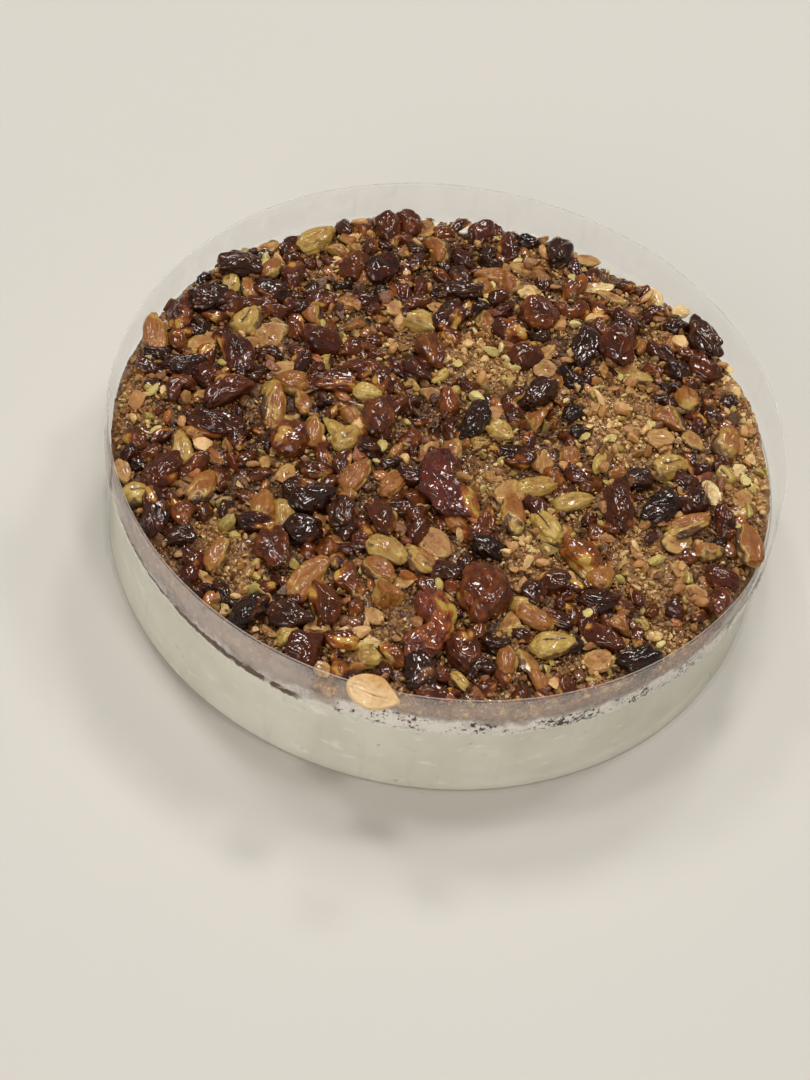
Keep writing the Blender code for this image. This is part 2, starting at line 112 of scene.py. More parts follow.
# What lies on the topping: x, y, length, width in millimetres and the turn of the long side in degrees
PIECES = {
    "hooked_glazed": (
        (3, -20, 26, 16, 118), (4, -71, 24, 13, 265),
    ),
    "dark_glazed": (
        (72, 58, 16, 9, 120), (36, 45, 18, 8, 85), (7, 7, 17, 8, 75), (-5, 58, 16, 7, 15),
        (-36, -34, 15, 11, 0), (-36, -46, 12, 9, 20), (-25, -39, 14, 9, 100), (24, 22, 16, 9, 60),
        (33, 31, 11, 6, -40), (64, -14, 15, 9, 60), (57, -5, 10, 7, 20), (4, -87, 13, 9, 100),
        (6, -52, 10, 8, 0), (-72, 51, 14, 9, 10), (24, 83, 13, 9, 90), (-81, 7, 15, 8, 20),
        (63, -69, 13, 8, 25), (-45, -77, 14, 8, 65), (-34, -75, 13, 9, 150), (63, 61, 8, 6, 0),
    ),
    "red_glazed": (
        (-66, 0, 15, 9, 45), (-67, -13, 17, 9, 0), (-45, -15, 12, 11, 0), (-21, 0, 15, 10, 100),
        (-78, -34, 15, 9, 60), (-77, -51, 16, 8, 105), (-42, -55, 15, 9, 110), (52, -17, 18, 9, 105),
        (18, -57, 18, 15, 80), (15, -77, 13, 9, 120), (50, -51, 13, 7, 20),
        (46, 47, 14, 12, 80), (20, 53, 12, 11, 0), (-67, 15, 18, 9, 115), (-37, 10, 17, 7, 10),
        (-43, 27, 13, 10, 0), (-7, 45, 12, 9, 60), (-86, 27, 15, 8, 100), (-56, 53, 13, 7, 80),
        (-80, 36, 14, 9, 25), (83, -13, 10, 6, 100), (84, -43, 12, 7, 70), (-31, 80, 11, 9, 90),
    ),
    "amber_glazed": (
        (-10, 31, 16, 9, 110), (-15, -38, 13, 9, 120), (-20, -60, 10, 7, 110), (-25, -70, 15, 9, 110),
        (-18, -80, 12, 7, 10), (37, -48, 10, 8, 30), (44, -37, 15, 10, -30), (-69, -48, 10, 7, 90),
        (-5, -33, 8, 7, 0),
    ),
    "roasted_kernel": (
        (-52, -2, 17, 7, 95), (-44, 1, 10, 5, 110), (-66, -38, 14, 7, 80), (-57, -60, 12, 6, 75),
        (-48, -40, 13, 7, 95), (-24, -24, 14, 7, 65), (-13, -23, 14, 6, 72), (-31, -62, 18, 8, 62),
        (-12, -56, 11, 7, -30), (33, -62, 12, 6, -20), (27, -77, 10, 6, 100), (22, -26, 15, 7, 100),
        (73, -18, 14, 7, 35), (91, -20, 17, 8, 100), (80, -26, 9, 6, 20), (82, 17, 12, 8, 80),
        (-92, 18, 16, 7, 108), (-63, 53, 10, 6, 75), (-68, 43, 10, 5, 120), (50, -43, 9, 7, 60),
    ),
    "green_kernel": (
        (-75, -24, 13, 6, 111), (-85, -45, 9, 8, 30), (-11, -49, 13, 8, -20), (-10, -85, 7, 7, 0),
        (39, -70, 13, 8, 20), (28, -14, 13, 7, 30), (32, -28, 14, 7, 125), (39, -17, 13, 6, 30),
        (66, 3, 13, 8, 35), (54, 37, 8, 5, 0), (15, 4, 9, 6, -30), (-52, 70, 14, 8, 50),
        (-29, -10, 11, 7, 60), (16, -87, 9, 4, -40), (-26, 9, 9, 6, 0),
    ),
    "split_half": (
        (2, -42, 12, 9, -40), (52, -71, 9, 8, 60), (79, -4, 9, 6, 110), (25, 33, 8, 7, 0),
        (62, 14, 9, 8, 0), (72, 16, 9, 6, -50), (16, 64, 9, 5, 0), (36, 72, 12, 5, 15),
        (-77, 19, 12, 7, 40), (-90, -36, 9, 5, -60), (72, -33, 7, 5, 100), (88, -3, 8, 6, 80),
        (-52, 13, 8, 6, 40), (-24, 47, 8, 6, -40), (33, 84, 8, 6, 0), (-66, 63, 9, 5, 50),
    ),
}

# The pale split half across the rim
RIM_HALF = {
    "x": -7, "out": 1.2, "drop": 0.95,
    "length": 16, "width": 9.4, "height": 4, "turn": -10, "lean": 26,
}

GLAZED = ("hooked_glazed", "dark_glazed", "red_glazed", "amber_glazed")

# How often each kind comes among the nuts that crowd between the listed ones
FILLER_SHARES = {"red_glazed": 38, "amber_glazed": 20, "dark_glazed": 13, "roasted_kernel": 13,
                 "green_kernel": 5, "split_half": 11}

# Pale pieces of kernel on the topping, and cream-coloured dabs at its rear that paint reflections in the
# film: x, y, length, width and turn as above
PALE_BITS = (
    (78, -4, 12, 6, -55), (17, 63, 9, 6, 0), (37, 72, 12, 6, 15), (56, 72, 10, 5, -50), (64, 69, 6, 5, 0),
    (30, -66, 5, 4, 30), (48, -65, 5, 4, 80), (45, -57, 4, 3, 0), (67, -59, 6, 4, 10), (-10, -79, 5, 4, 20),
    (86, 8, 6, 5, 40), (90, 14, 5, 4, 100), (88, -8, 6, 5, 10), (-32, -28, 7, 5, 60), (-44, 62, 6, 5, 0),
)
# Painted reflection: pale dabs in the cream's colour at the topping's rear.
PAINTED_REFLECTION_DABS = (
    (-18, 86, 9, 6, 10), (-7, 88, 9, 6, 0), (1, 89, 7, 5, 170), (14, 89, 6, 5, 170),
)

# Where the bed shows light dry crumbs and few kernels: x, y and radius in millimetres
LIGHT_AREAS = (
    (4, 30, 14), (48, 17, 15), (63, -37, 13), (91, 22, 13), (-92, -10, 9), (-50, -68, 9), (-12, -80, 8),
    (30, -40, 9), (74, -60, 9), (87, 44, 11), (-58, -47, 8), (14, -14, 7), (96, 0, 9),
)

# Where the lamps hang, most of them behind the cake, so that its glossy tops shine
LAMP_SPOTS = (
    (0.10, 1.25, 1.6), (-0.85, 0.85, 1.6), (0.85, 0.75, 1.6), (-0.30, 0.35, 1.9), (0.35, -0.30, 1.9),
)


def srgb(red, green, blue):
    """A colour given in 8-bit screen values, as the linear values that shaders take."""
    shares = (part / 255 for part in (red, green, blue))
    return tuple(s / 12.92 if s <= 0.04045 else ((s + 0.055) / 1.055) ** 2.4 for s in shares)


def colour_prop(name, description, red, green, blue):
    return FloatVectorProperty(name=name, description=description, subtype="COLOR", size=3, min=0, max=1,
                               default=srgb(red, green, blue))


def count_prop(name, description, default):
    return IntProperty(name=name, description=description, default=default)


def number_prop(name, description, default, **kind):
    return FloatProperty(name=name, description=description, default=default, **kind)


def place_prop(name, description, default):
    return FloatVectorProperty(name=name, description=description, default=default, subtype="TRANSLATION",
                               unit="LENGTH")


class CakeSizes(bpy.types.PropertyGroup):
    """Sizes and counts of the cake's visible detail."""

    fine_crumbs: count_prop("Fine crumbs", "Number of fine nut crumbs", 17000)
    coarse_crumbs: count_prop("Coarse crumbs", "Number of coarse nut chips", 1800)
    green_crumbs: count_prop("Green crumbs", "Number of green nut chips", 380)
    chunks: count_prop("Chunks", "Number of broken kernel pieces", 820)
    fillers: count_prop("Fillers", "Number of nuts crowded between the placed ones", 330)
    crumb_size: number_prop("Crumb size", "Mean length of a fine crumb", 1.02 * MM, unit="LENGTH")
    film_wave: number_prop("Film wave", "How far the film's rim strays from round", 0.35 * MM, unit="LENGTH")


class CakeColours(bpy.types.PropertyGroup):
    """Colours of the cake's parts."""

    cream: colour_prop("Cream", "Mastic cream", 227, 224, 206)
    film: colour_prop("Film", "Clear collar film", 236, 230, 222)
    caramel: colour_prop("Caramel", "Dark caramel under the crumbs", 80, 48, 24)
    crumb: colour_prop("Crumb", "Middle tone of the crumbs", 166, 116, 62)
    pale_crumb: colour_prop("Pale crumb", "Lightest crumbs", 232, 194, 130)
    black_glaze: colour_prop("Black glaze", "Darkest glazed nuts", 21, 9, 6)
    red_glaze: colour_prop("Red glaze", "Red-brown glazed nuts", 78, 32, 14)
    amber_glaze: colour_prop("Amber glaze", "Orange-brown glazed nuts", 96, 45, 15)
    purple_skin: colour_prop("Purple skin", "Thin skin of the nuts", 88, 54, 38)
    roasted: colour_prop("Roasted", "Roasted kernels", 160, 102, 42)
    green: colour_prop("Green", "Pistachio flesh", 192, 160, 80)
    tan: colour_prop("Tan", "Cut faces of split halves", 190, 144, 82)


class StageSettings(bpy.types.PropertyGroup):
    """Camera, floor and lights."""

    eye: place_prop("Eye", "Where the camera stands", (0.0, -0.4695, 0.5673))
    aim: place_prop("Aim", "What the camera points at", (-0.0071, -0.0105, 0.0))
    roll: number_prop("Roll", "Turn of the camera about its view", math.radians(10.03), subtype="ANGLE")
    lens: number_prop("Lens", "Focal length in millimetres", 80.0)
    floor: colour_prop("Floor", "Pale floor", 206, 200, 190)
    lamp_size: number_prop("Lamp size", "Side of each lamp", 0.27, unit="LENGTH")
    lamp_power: number_prop("Lamp power", "Power of each lamp in watts", 7.2)
    fill_power: number_prop("Fill power", "Power of the front lamp in watts", 9.0)
    wall_light: number_prop("Wall light", "Strength of the room's light before the cake", 0.74)
    back_light: number_prop("Back light", "Strength of the room's light behind the cake", 0.20)
    ceiling_light: number_prop("Ceiling light", "Strength of the room's light overhead", 0.05)


def arithmetic(operation, swapped=False):
    """A method of Socket that adds one Math node."""
    def method(self, other):
        return self.maths(operation, other, self) if swapped else self.maths(operation, self, other)
    return method


class Socket:
    """A number socket. Python arithmetic on it adds Math nodes."""

    def __init__(self, finish, socket):
        self.finish = finish
        self.socket = socket

    def maths(self, operation, *parts, clamp=False):
        settings = {"operation": operation, "use_clamp": clamp}
        made = self.finish.node("ShaderNodeMath", settings, dict(enumerate(parts)))
        return Socket(self.finish, made.outputs[0])

    __add__, __radd__ = arithmetic("ADD"), arithmetic("ADD", True)
    __sub__, __rsub__ = arithmetic("SUBTRACT"), arithmetic("SUBTRACT", True)
    __mul__, __rmul__ = arithmetic("MULTIPLY"), arithmetic("MULTIPLY", True)
    __truediv__, most = arithmetic("DIVIDE"), arithmetic("MAXIMUM")

    def above(self, start, end):
        """0 below start, 1 above end, and a smooth rise between."""
        settings = {"interpolation_type": "SMOOTHSTEP"}
        inputs = {"Value": self, "From Min": start, "From Max": end}
        made = self.finish.node("ShaderNodeMapRange", settings, inputs)
        return Socket(self.finish, made.outputs["Result"])

    def size(self):
        return self.maths("ABSOLUTE", self)

    def limited(self):
        return self.maths("MULTIPLY", self, 1.0, clamp=True)


class Tree:
    """A node tree with short ways to add nodes to it."""

    def __init__(self, tree):
        self.tree = tree

    def node(self, kind, settings, inputs):
        """Adds a node, sets it up, then feeds its sockets with values or links. Tuples of three numbers are
        8-bit screen colours."""
        made = self.tree.nodes.new(kind)
        for key, value in settings.items():
            setattr(made, key, value)
        for key, value in inputs.items():
            self.feed(made.inputs[key], value)
        return made

    def feed(self, socket, value):
        if isinstance(value, Socket):
            value = value.socket
        if isinstance(value, bpy.types.NodeSocket):
            self.tree.links.new(value, socket)
        elif socket.type == "RGBA" and len(value) == 3:
            socket.default_value = (*(srgb(*value) if isinstance(value, tuple) else value), 1.0)
        else:
            socket.default_value = value

    def place(self, output="Object"):
        """The object's own coordinates, or other ones that the node gives."""
        return self.node("ShaderNodeTexCoord", {}, {}).outputs[output]


class Finish(Tree):
    """One material with short ways to add patterns and colours to its Principled shader."""

    def __init__(self, name, constants):
        self.material = bpy.data.materials.new(name)
        self.material.use_nodes = True
        super().__init__(self.material.node_tree)
        self.shader = self.tree.nodes["Principled BSDF"]
        for socket, value in constants.items():
            self.shader.inputs[socket].default_value = value

    def attribute(self, name, output="Fac"):
        value = self.node("ShaderNodeAttribute", {"attribute_name": name}, {}).outputs[output]
        return Socket(self, value) if output == "Fac" else value

    def stretched(self, vector, scale):
        """The vector with each axis scaled on its own."""
        settings = {"operation": "MULTIPLY"}
        return self.node("ShaderNodeVectorMath", settings, {0: vector, 1: scale}).outputs["Vector"]

    def noise(self, vector, size, detail=3.0, roughness=0.55):
        """Smooth noise from 0 to 1 whose lumps are about the given size in metres."""
        inputs = {"Vector": vector, "Scale": 1 / size, "Detail": detail, "Roughness": roughness}
        return Socket(self, self.node("ShaderNodeTexNoise", {}, inputs).outputs["Fac"])

    def cells(self, vector, size):
        """The distance from the nearest cell's middle, and a number from 0 to 1 that each cell has."""
        made = self.node("ShaderNodeTexVoronoi", {"feature": "F1"}, {"Vector": vector, "Scale": 1 / size})
        parts = self.node("ShaderNodeSeparateColor", {}, {0: made.outputs["Color"]})
        return Socket(self, made.outputs["Distance"]), Socket(self, parts.outputs[0])

    def mix(self, share, first, second):
        """A colour between two colours."""
        made = self.node("ShaderNodeMix", {"data_type": "RGBA", "blend_type": "MIX"}, {})
        for socket, value in zip((0, 6, 7), (share, first, second)):
            self.feed(made.inputs[socket], value)
        return made.outputs[2]

    def layers(self, base, *layers):
        """The base with colours laid over it one by one, each with its own share."""
        for share, tone in layers:
            base = self.mix(share, base, tone)
        return base

    def ramp(self, tone, dark, middle, pale):
        """Dark, middle and pale as the tone runs from 0 to 1."""
        return self.mix(tone.above(0.5, 1.0), self.mix(tone.above(0.0, 0.5), dark, middle), pale)

    def bump(self, height, distance, strength=1.0):
        inputs = {"Height": height, "Distance": distance, "Strength": strength}
        return self.node("ShaderNodeBump", {}, inputs).outputs["Normal"]

    def connect(self, **sockets):
        """Feeds the Principled shader. Underscores stand for the spaces in its socket names."""
        for name, value in sockets.items():
            self.feed(self.shader.inputs[name.replace("_", " ")], value)
        return self.material


def cream_top(x, y):
    """Height of the cream's slightly wavy top."""
    wave = noise.noise(Vector((x, y, 0.0)) / (26 * MM))
    return CREAM_LEVEL + 1.6 * MM * wave


def topping_top(x, y):
    """Height of the crumbs between the larger pieces: a low mound with soft lumps."""
    radius = math.hypot(x, y)
    mound = -1.2 * MM * (radius / CAKE_RADIUS) ** 2
    lumps = 2.0 * MM * noise.noise(Vector((x, y, 4 * MM)) / (22 * MM))
    return TOPPING_LEVEL + mound + lumps


def around(angle, level, size):
    """A point of noise space for a direction from the cake's middle."""
    return Vector((math.cos(angle), math.sin(angle), level)) * size


def topping_edge(angle):
    """Radius that the topping reaches: up to the film in front and short of it behind."""
    behind = 5.5 * MM * max(0.0, math.sin(angle)) ** 2
    right = 1.4 * MM * max(0.0, math.cos(angle))
    ragged = 1.0 * MM * (1 + noise.noise(around(angle, 0.3, 5)))
    return CAKE_RADIUS - behind - right - ragged


def lightness(x, y):
    """How dry and light the crumbs are here, from 0 to 1."""
    drift = noise.noise(Vector((x, y, 0.02)) / (15 * MM))
    light = 0.21 + (0.11 * x + 0.06 * y) / CAKE_RADIUS + 0.42 * drift
    for row in LIGHT_AREAS:
        middle_x, middle_y, radius = (value * MM for value in row)
        away = math.hypot(x - middle_x, y - middle_y) / radius
        light += 0.70 * math.exp(-away ** 2)
    return max(0.0, min(1.0, light))


def lumpy(point, seed, amount, size):
    """The point moved out or in by a smooth random share of its distance from the middle."""
    return point * (1 + amount * noise.noise(point * size + Vector((seed * 3.7, seed * 1.3, seed * 2.1))))


def glazed_shape(point, seed):
    """A wrinkled, bent nut under thick glaze. The point lies on a unit ball, with the length along X."""
    creased = lumpy(point, seed, 0.30, 1.3)
    bend = 0.16 * math.sin(seed * 2.4)
    return Vector((creased.x, creased.y + bend * (1 - 2 * creased.x ** 2), creased.z))


def hooked_shape(point, seed):
    """A large glazed nut curled round a hollow in one long side."""
    hollow = 0.8 * math.exp(-((point.x - 0.05) / 0.3) ** 2) * max(0.0, -point.y)
    curled = Vector((point.x, point.y + hollow + 0.12 * (1 - 2 * point.x ** 2), point.z))
    return lumpy(curled, seed, 0.18, 1.3)


def kernel_shape(point, seed):
    """A whole kernel: an egg form, narrower at one end, with a shallow seam along the top."""
    taper = 1 - 0.22 * point.x
    seam = 0.10 * max(0.0, point.z) * max(0.0, 1 - abs(point.y) / 0.35)
    shaped = Vector((point.x, point.y * taper, (point.z - seam) * taper))
    return lumpy(shaped, seed, 0.10, 1.5)


def half_shape(point, seed):
    """A split half: flat on top, round below, pointed at one end."""
    taper = 1 - 0.30 * max(0.0, point.x)
    flat = min(point.z, 0.45)
    return lumpy(Vector((point.x, point.y * taper, flat)), seed, 0.12, 1.4)


def crease(point, seed, size):
    """0 along the sharp creases of a noise, rising to about 1 on the puffy folds between them."""
    spot = point * size + Vector((seed * 1.7, seed * 2.9, seed * 0.7))
    return min(1.0, 2.4 * abs(noise.noise(spot)))


def broken(point, seed):
    """The point pressed back to the flat breaks that chopping leaves on a nut."""
    for number in range(3):
        turn = seed * 2.3 + number * 2.1
        normal = Vector((math.cos(turn), math.sin(turn), 0.7 * math.sin(turn * 1.7))).normalized()
        over = point.dot(normal) - (0.60 + 0.20 * math.sin(seed + number))
        if over > 0:
            point = point - 0.85 * over * normal
    return point


def beads(point, seed):
    """Small hardened beads of glaze."""
    return 0.014 * noise.noise(point * 6.0 + Vector((seed, 0, 0)))


def glazed_detail(point, seed, fold=0.15):
    """Puffy folds of the skin under the glaze, and the hollow that a split nut has in its top."""
    folds = fold * crease(Vector((point.x * 0.75, point.y, point.z)), seed, 1.5)
    fine = 0.24 * fold * crease(point, seed + 3, 3.4)
    across = (point.x - 0.3 * math.sin(seed * 1.3)) / 0.45
    along = (point.y - 0.2 * math.sin(seed * 2.3)) / 0.35
    depth = 0.34 * max(0.0, math.sin(seed * 1.7))
    hollow = -depth * max(0.0, point.z) * math.exp(-across ** 2 - along ** 2)
    return folds + fine + hollow + beads(point, seed) - 0.10


def amber_detail(point, seed):
    """The same with soft folds, for the nuts whose glaze is thick and clear."""
    return glazed_detail(point, seed, 0.08)


def hooked_detail(point, seed):
    """Deep folds that run round the hollow of a large curled nut."""
    folds = 0.15 * crease(Vector((point.x, point.y * 0.8, point.z)), seed, 2.0)
    fine = 0.045 * crease(point, seed + 3, 4.0)
    return folds + fine + beads(point, seed) - 0.08


def kernel_detail(point, seed):
    """Folds that run along a kernel, its pits, and the shallow dish of its upper face."""
    along = 0.11 * crease(Vector((point.x * 0.4, point.y, point.z)), seed, 2.1)
    fine = 0.04 * crease(Vector((point.x * 0.5, point.y, point.z)), seed + 5, 4.6)
    pits = 0.03 * noise.noise(point * 5 + Vector((seed, 0, 0)))
    dish = -0.20 * max(0.0, point.z) * math.exp(-((point.x / 0.6) ** 2 + (point.y / 0.40) ** 2))
    return along + fine + pits + dish - 0.06


def half_detail(point, seed):
    """The seam, the dished middle and the grain of a split face."""
    on_face = float(point.z > 0.4)
    seam = -0.14 * on_face * math.exp(-(point.y / 0.10) ** 2) * max(0.0, 1 - abs(point.x) / 0.7)
    dish = -0.14 * on_face * max(0.0, 1 - (point.x / 0.8) ** 2 - (point.y / 0.75) ** 2)
    wrinkles = 0.06 * crease(Vector((point.x * 0.6, point.y, point.z)), seed, 2.8)
    return seam + dish + wrinkles - 0.03


# Each kind's height as a share of its width, its middle's height over the crumbs, its form and its folds
KINDS = {
    "hooked_glazed": (0.60, 0.24, hooked_shape, hooked_detail),
    "dark_glazed": (0.85, 0.24, glazed_shape, glazed_detail),
    "red_glazed": (0.85, 0.24, glazed_shape, glazed_detail),
    "amber_glazed": (0.80, 0.22, glazed_shape, amber_detail),
    "roasted_kernel": (0.80, 0.26, kernel_shape, kernel_detail),
    "green_kernel": (0.80, 0.26, kernel_shape, kernel_detail),
    "split_half": (0.45, 0.30, half_shape, half_detail),
}


def deselect():
    if bpy.context.object and bpy.context.object.mode != "OBJECT":
        bpy.ops.object.mode_set(mode="OBJECT")
    bpy.ops.object.select_all(action="DESELECT")


def named(name):
    """The active object, after it has been given a name."""
    made = bpy.context.object
    made.name = made.data.name = name
    return made


def close_up(*fills):
    """Fills the open ends of the active object and turns its faces outwards."""
    for fill in fills:
        bpy.ops.mesh.select_all(action="DESELECT")
        bpy.ops.mesh.select_non_manifold()
        fill()
    bpy.ops.mesh.select_all(action="SELECT")
    bpy.ops.mesh.normals_make_consistent(inside=False)
    bpy.ops.object.mode_set(mode="OBJECT")


def new_ball(name, subdivisions):
    """A unit ball of triangles, added at the origin."""
    deselect()
    bpy.ops.mesh.primitive_ico_sphere_add(subdivisions=subdivisions, radius=1.0, location=(0, 0, 0))
    return named(name)


def points_of(mesh):
    flat = np.zeros(len(mesh.vertices) * 3)
    mesh.vertices.foreach_get("co", flat)
    return flat.reshape(-1, 3)


def add_values(mesh, name, values):
    """Stores one number for each point, which a material reads."""
    layer = mesh.attributes.new(name, "FLOAT", "POINT")
    layer.data.foreach_set("value", np.asarray(values, dtype=np.float32))


def add_places(mesh, places):
    """Stores the piece's own coordinates, which its patterns follow."""
    layer = mesh.attributes.new("place", "FLOAT_VECTOR", "POINT")
    layer.data.foreach_set("vector", np.asarray(places, dtype=np.float32).ravel())


def joined(name, parts):
    """Joins balls and other small objects into one piece."""
    deselect()
    for part in parts:
        part.select_set(True)
    bpy.context.view_layer.objects.active = parts[0]
    bpy.ops.object.join()
    return named(name)


def finish_piece(piece, material, smooth=True):
    """Gives the piece its material and shading, and lets it ride on the cake's one body."""
    piece.data.materials.clear()
    piece.data.materials.append(material)
    piece.data.shade_smooth() if smooth else piece.data.shade_flat()
    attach(piece, BODY)
    return piece


def piece_placing(kind, row, seed, sink=0.0, tip=1.0):
    """The half sizes and the matrix of a piece on the topping. Sink lowers it by a share of its height, and
    tip makes its lean larger."""
    x, y, length, width, turn = row
    x, y, length, width = (value * MM for value in (x, y, length, width))
    share, lift = KINDS[kind][:2]
    height = share * width
    level = topping_top(x, y) + (lift - sink) * height
    roll, pitch = 12 * tip * math.sin(seed * 1.9), 7 * tip * math.sin(seed * 3.1)
    placing = Matrix.Translation((x, y, level))
    placing @= Matrix.Rotation(math.radians(turn), 4, "Z")
    placing @= Matrix.Rotation(math.radians(pitch), 4, "Y")
    placing @= Matrix.Rotation(math.radians(roll), 4, "X")
    return (length / 2, width / 2, height / 2), placing


def skin_mask(kind, unit, seed):
    """Where a nut's skin or flesh lies, from about -1 to 1. Glazed nuts show flesh on one side, and kernels
    keep thin skin low down and on one side. The hollow of a hooked nut is at -2, where its glaze paints
    near-black shade."""
    # The hollow of the large curled nut gets -2, where its glaze paints near-black shade.
    if kind == "hooked_glazed" and seed == 1 and math.exp(-((unit.x - 0.05) / 0.2) ** 2) * -unit.y > 0.42:
        return -2.0
    if kind == "green_kernel" and seed % 3 == 0 and unit.z > 0.3 and abs(unit.y) < 0.08 and abs(unit.x) < 0.6:
        return 1.0
    lean = Vector((0.7 * math.sin(seed * 5.0), math.cos(seed * 2.7), 0.5 * math.sin(seed * 1.1))).normalized()
    patches = 0.55 * noise.noise(unit * 1.9 + Vector((seed, 0, 0)))
    if kind in GLAZED:
        return 0.72 * unit.dot(lean) + patches
    return 0.5 * unit.dot(lean) - 0.7 * unit.z + patches


def face_tone(kind, unit, seed):
    """A nut's own tone, with the middle of a kernel's face a little browner than its rim."""
    own = (seed * 0.618) % 1.0
    if kind == "hooked_glazed":
        return 0.30 if seed == 1 else 0.95
    if kind in GLAZED:
        return own
    middle = max(0.0, unit.z) * math.exp(-((unit.x / 0.55) ** 2 + (unit.y / 0.45) ** 2))
    return 0.55 * own + 0.45 * middle


def shaped_nut(name, kind, half_size, placing, seed, subdivisions, chopped=False, curled=False):
    """A nut with its folds, set in its place, with the attributes that its material reads."""
    nut = new_ball(name, subdivisions)
    shape, detail = KINDS["hooked_glazed" if curled else kind][2], KINDS[kind][3]
    spots, places, skins, tones = [], [], [], []
    for vertex in nut.data.vertices:
        unit = vertex.co.copy()
        start = broken(unit, seed) if chopped else unit
        shaped = shape(start, seed) * (1 + detail(unit, seed))
        local = Vector([part * half for part, half in zip(shaped, half_size)])
        spots.append(placing @ local)
        places.append(local + Vector((seed * 0.013, seed * 0.007, 0)))
        skins.append(skin_mask(kind, unit, seed))
        tones.append(face_tone(kind, unit, seed))
    spots = np.array(spots)
    reach = np.hypot(spots[:, 0], spots[:, 1])
    furthest = reach.argmax()
    excess = reach[furthest] - (CAKE_RADIUS - GAP)
    if excess > 0:
        spots[:, :2] -= excess * spots[furthest, :2] / reach[furthest]
    spots[:, 2] = np.minimum(spots[:, 2], CAD_BOX[1].z)
    nut.data.vertices.foreach_set("co", spots.ravel())
    add_places(nut.data, places)
    add_values(nut.data, "skin", skins)
    add_values(nut.data, "tint", tones)
    nut.data.update()
    return nut


def stuck_spots(nut, draw, count):
    """Points on a nut's upper side where crumbs have stuck."""
    vertices = nut.data.vertices
    picked = (vertices[i] for i in draw.integers(0, len(vertices), 4 * count))
    return [tuple(vertex.co) for vertex in picked if vertex.normal.z > 0.0][:count]


def filler_rows(count):
    """Rows for the nuts that crowd between the listed ones, thickly where the crumbs are dark."""
    draw = random.Random(SEEDS["fillers"])
    taken = [(row[0], row[1], (row[2] + row[3]) / 4) for rows in PIECES.values() for row in rows]
    made = {kind: [] for kind in FILLER_SHARES}
    for _ in range(40 * count):
        if sum(len(rows) for rows in made.values()) >= count:
            break
        angle, spread = draw.uniform(0, 2 * math.pi), math.sqrt(draw.random())
        length = min(13.5, max(6.0, 9.4 * math.exp(draw.gauss(0, 0.22))))
        width = length * draw.uniform(0.52, 0.80)
        radius = spread * (topping_edge(angle) / MM - length / 2)
        x, y = radius * math.cos(angle), radius * math.sin(angle)
        reach = (length + width) / 4
        crowded = lightness(x * MM, y * MM) < draw.uniform(0.12, 0.58)
        free = all(math.hypot(x - spot[0], y - spot[1]) > 0.66 * (reach + spot[2]) for spot in taken)
        kind, turn = draw.choices(*zip(*FILLER_SHARES.items()))[0], draw.uniform(0, 360)
        if crowded and free:
            taken.append((x, y, reach))
            made[kind].append((x, y, length, width, turn))
    return made


def uncovered(xs, ys, rows, share):
    """Which points lie outside the ovals that the nuts cover, each shrunk to a share of its size."""
    free = np.ones(len(xs), bool)
    for x, y, length, width, turn in rows:
        angle = math.radians(turn)
        away_x, away_y = xs - x * MM, ys - y * MM
        along = away_x * math.cos(angle) + away_y * math.sin(angle)
        across = away_y * math.cos(angle) - away_x * math.sin(angle)
        free &= np.hypot(along / (length * MM / 2), across / (width * MM / 2)) > share
    return free


def chip_templates(variants, subdivisions, roughness, seed, cuts=5):
    """Angular chip shapes on unit balls: flats cut at random, then points pushed in and out."""
    draw = np.random.default_rng(seed)
    ball = new_ball("chip_template", subdivisions)
    points = points_of(ball.data)
    faces = np.array([tuple(face.vertices) for face in ball.data.polygons])
    bpy.data.objects.remove(ball)
    templates = []
    for _ in range(variants):
        shape = points * (1 + roughness * draw.uniform(-1, 1, (len(points), 1)))
        for normal in draw.normal(size=(cuts, 3)):
            normal /= np.linalg.norm(normal)
            over = np.maximum(shape @ normal - draw.uniform(0.30, 0.70), 0)
            shape = shape - over[:, None] * normal
        templates.append(shape)
    return templates, faces


def random_turns(draw, count, flatness):
    """Rotation matrices. With flatness 1 the chips only turn about the vertical."""
    spin = draw.uniform(0, 2 * math.pi, count)
    tip = draw.uniform(-1, 1, (count, 2)) * (1 - flatness) * math.pi / 2
    turns = np.empty((count, 3, 3))
    for i in range(count):
        turn = Matrix.Rotation(spin[i], 3, "Z") @ Matrix.Rotation(tip[i, 0], 3, "X")
        turns[i] = turn @ Matrix.Rotation(tip[i, 1], 3, "Y")
    return turns


def chips_mesh(name, templates, faces, spots, sizes, tints, flatness, seed):
    """One mesh of many chips, each a turned and sized copy of a template."""
    draw = np.random.default_rng(seed)
    count = len(spots)
    turns = random_turns(draw, count, flatness)
    chosen = draw.integers(0, len(templates), count)
    shapes = np.array(templates)[chosen] * np.asarray(sizes)[:, None, :]
    points = np.einsum("nij,nkj->nki", turns, shapes) + np.asarray(spots)[:, None, :]
    corner_count = shapes.shape[1]
    corners = faces[None] + (np.arange(count) * corner_count)[:, None, None]
    mesh = bpy.data.meshes.new(name)
    mesh.from_pydata(points.reshape(-1, 3), [], corners.reshape(-1, faces.shape[1]).tolist())
    add_values(mesh, "tint", np.repeat(tints, corner_count))
    chips = bpy.data.objects.new(name, mesh)
    bpy.context.scene.collection.objects.link(chips)
    return chips


def random_lengths(draw, count, mean, spread, low, high):
    """Lengths that stray from their mean by a share, within limits."""
    return np.clip(mean * draw.lognormal(0, spread, count), low, high)


def chip_sizes(draw, lengths, width, height):
    """Half sizes of chips, whose widths and heights are random shares of their lengths."""
    count = len(lengths)
    shares = [np.ones(count), draw.uniform(*width, count), draw.uniform(*height, count)]
    return lengths[:, None] / 2 * np.stack(shares, 1)


def lightness_of(xs, ys):
    return np.array([lightness(x, y) for x, y in zip(xs, ys)])


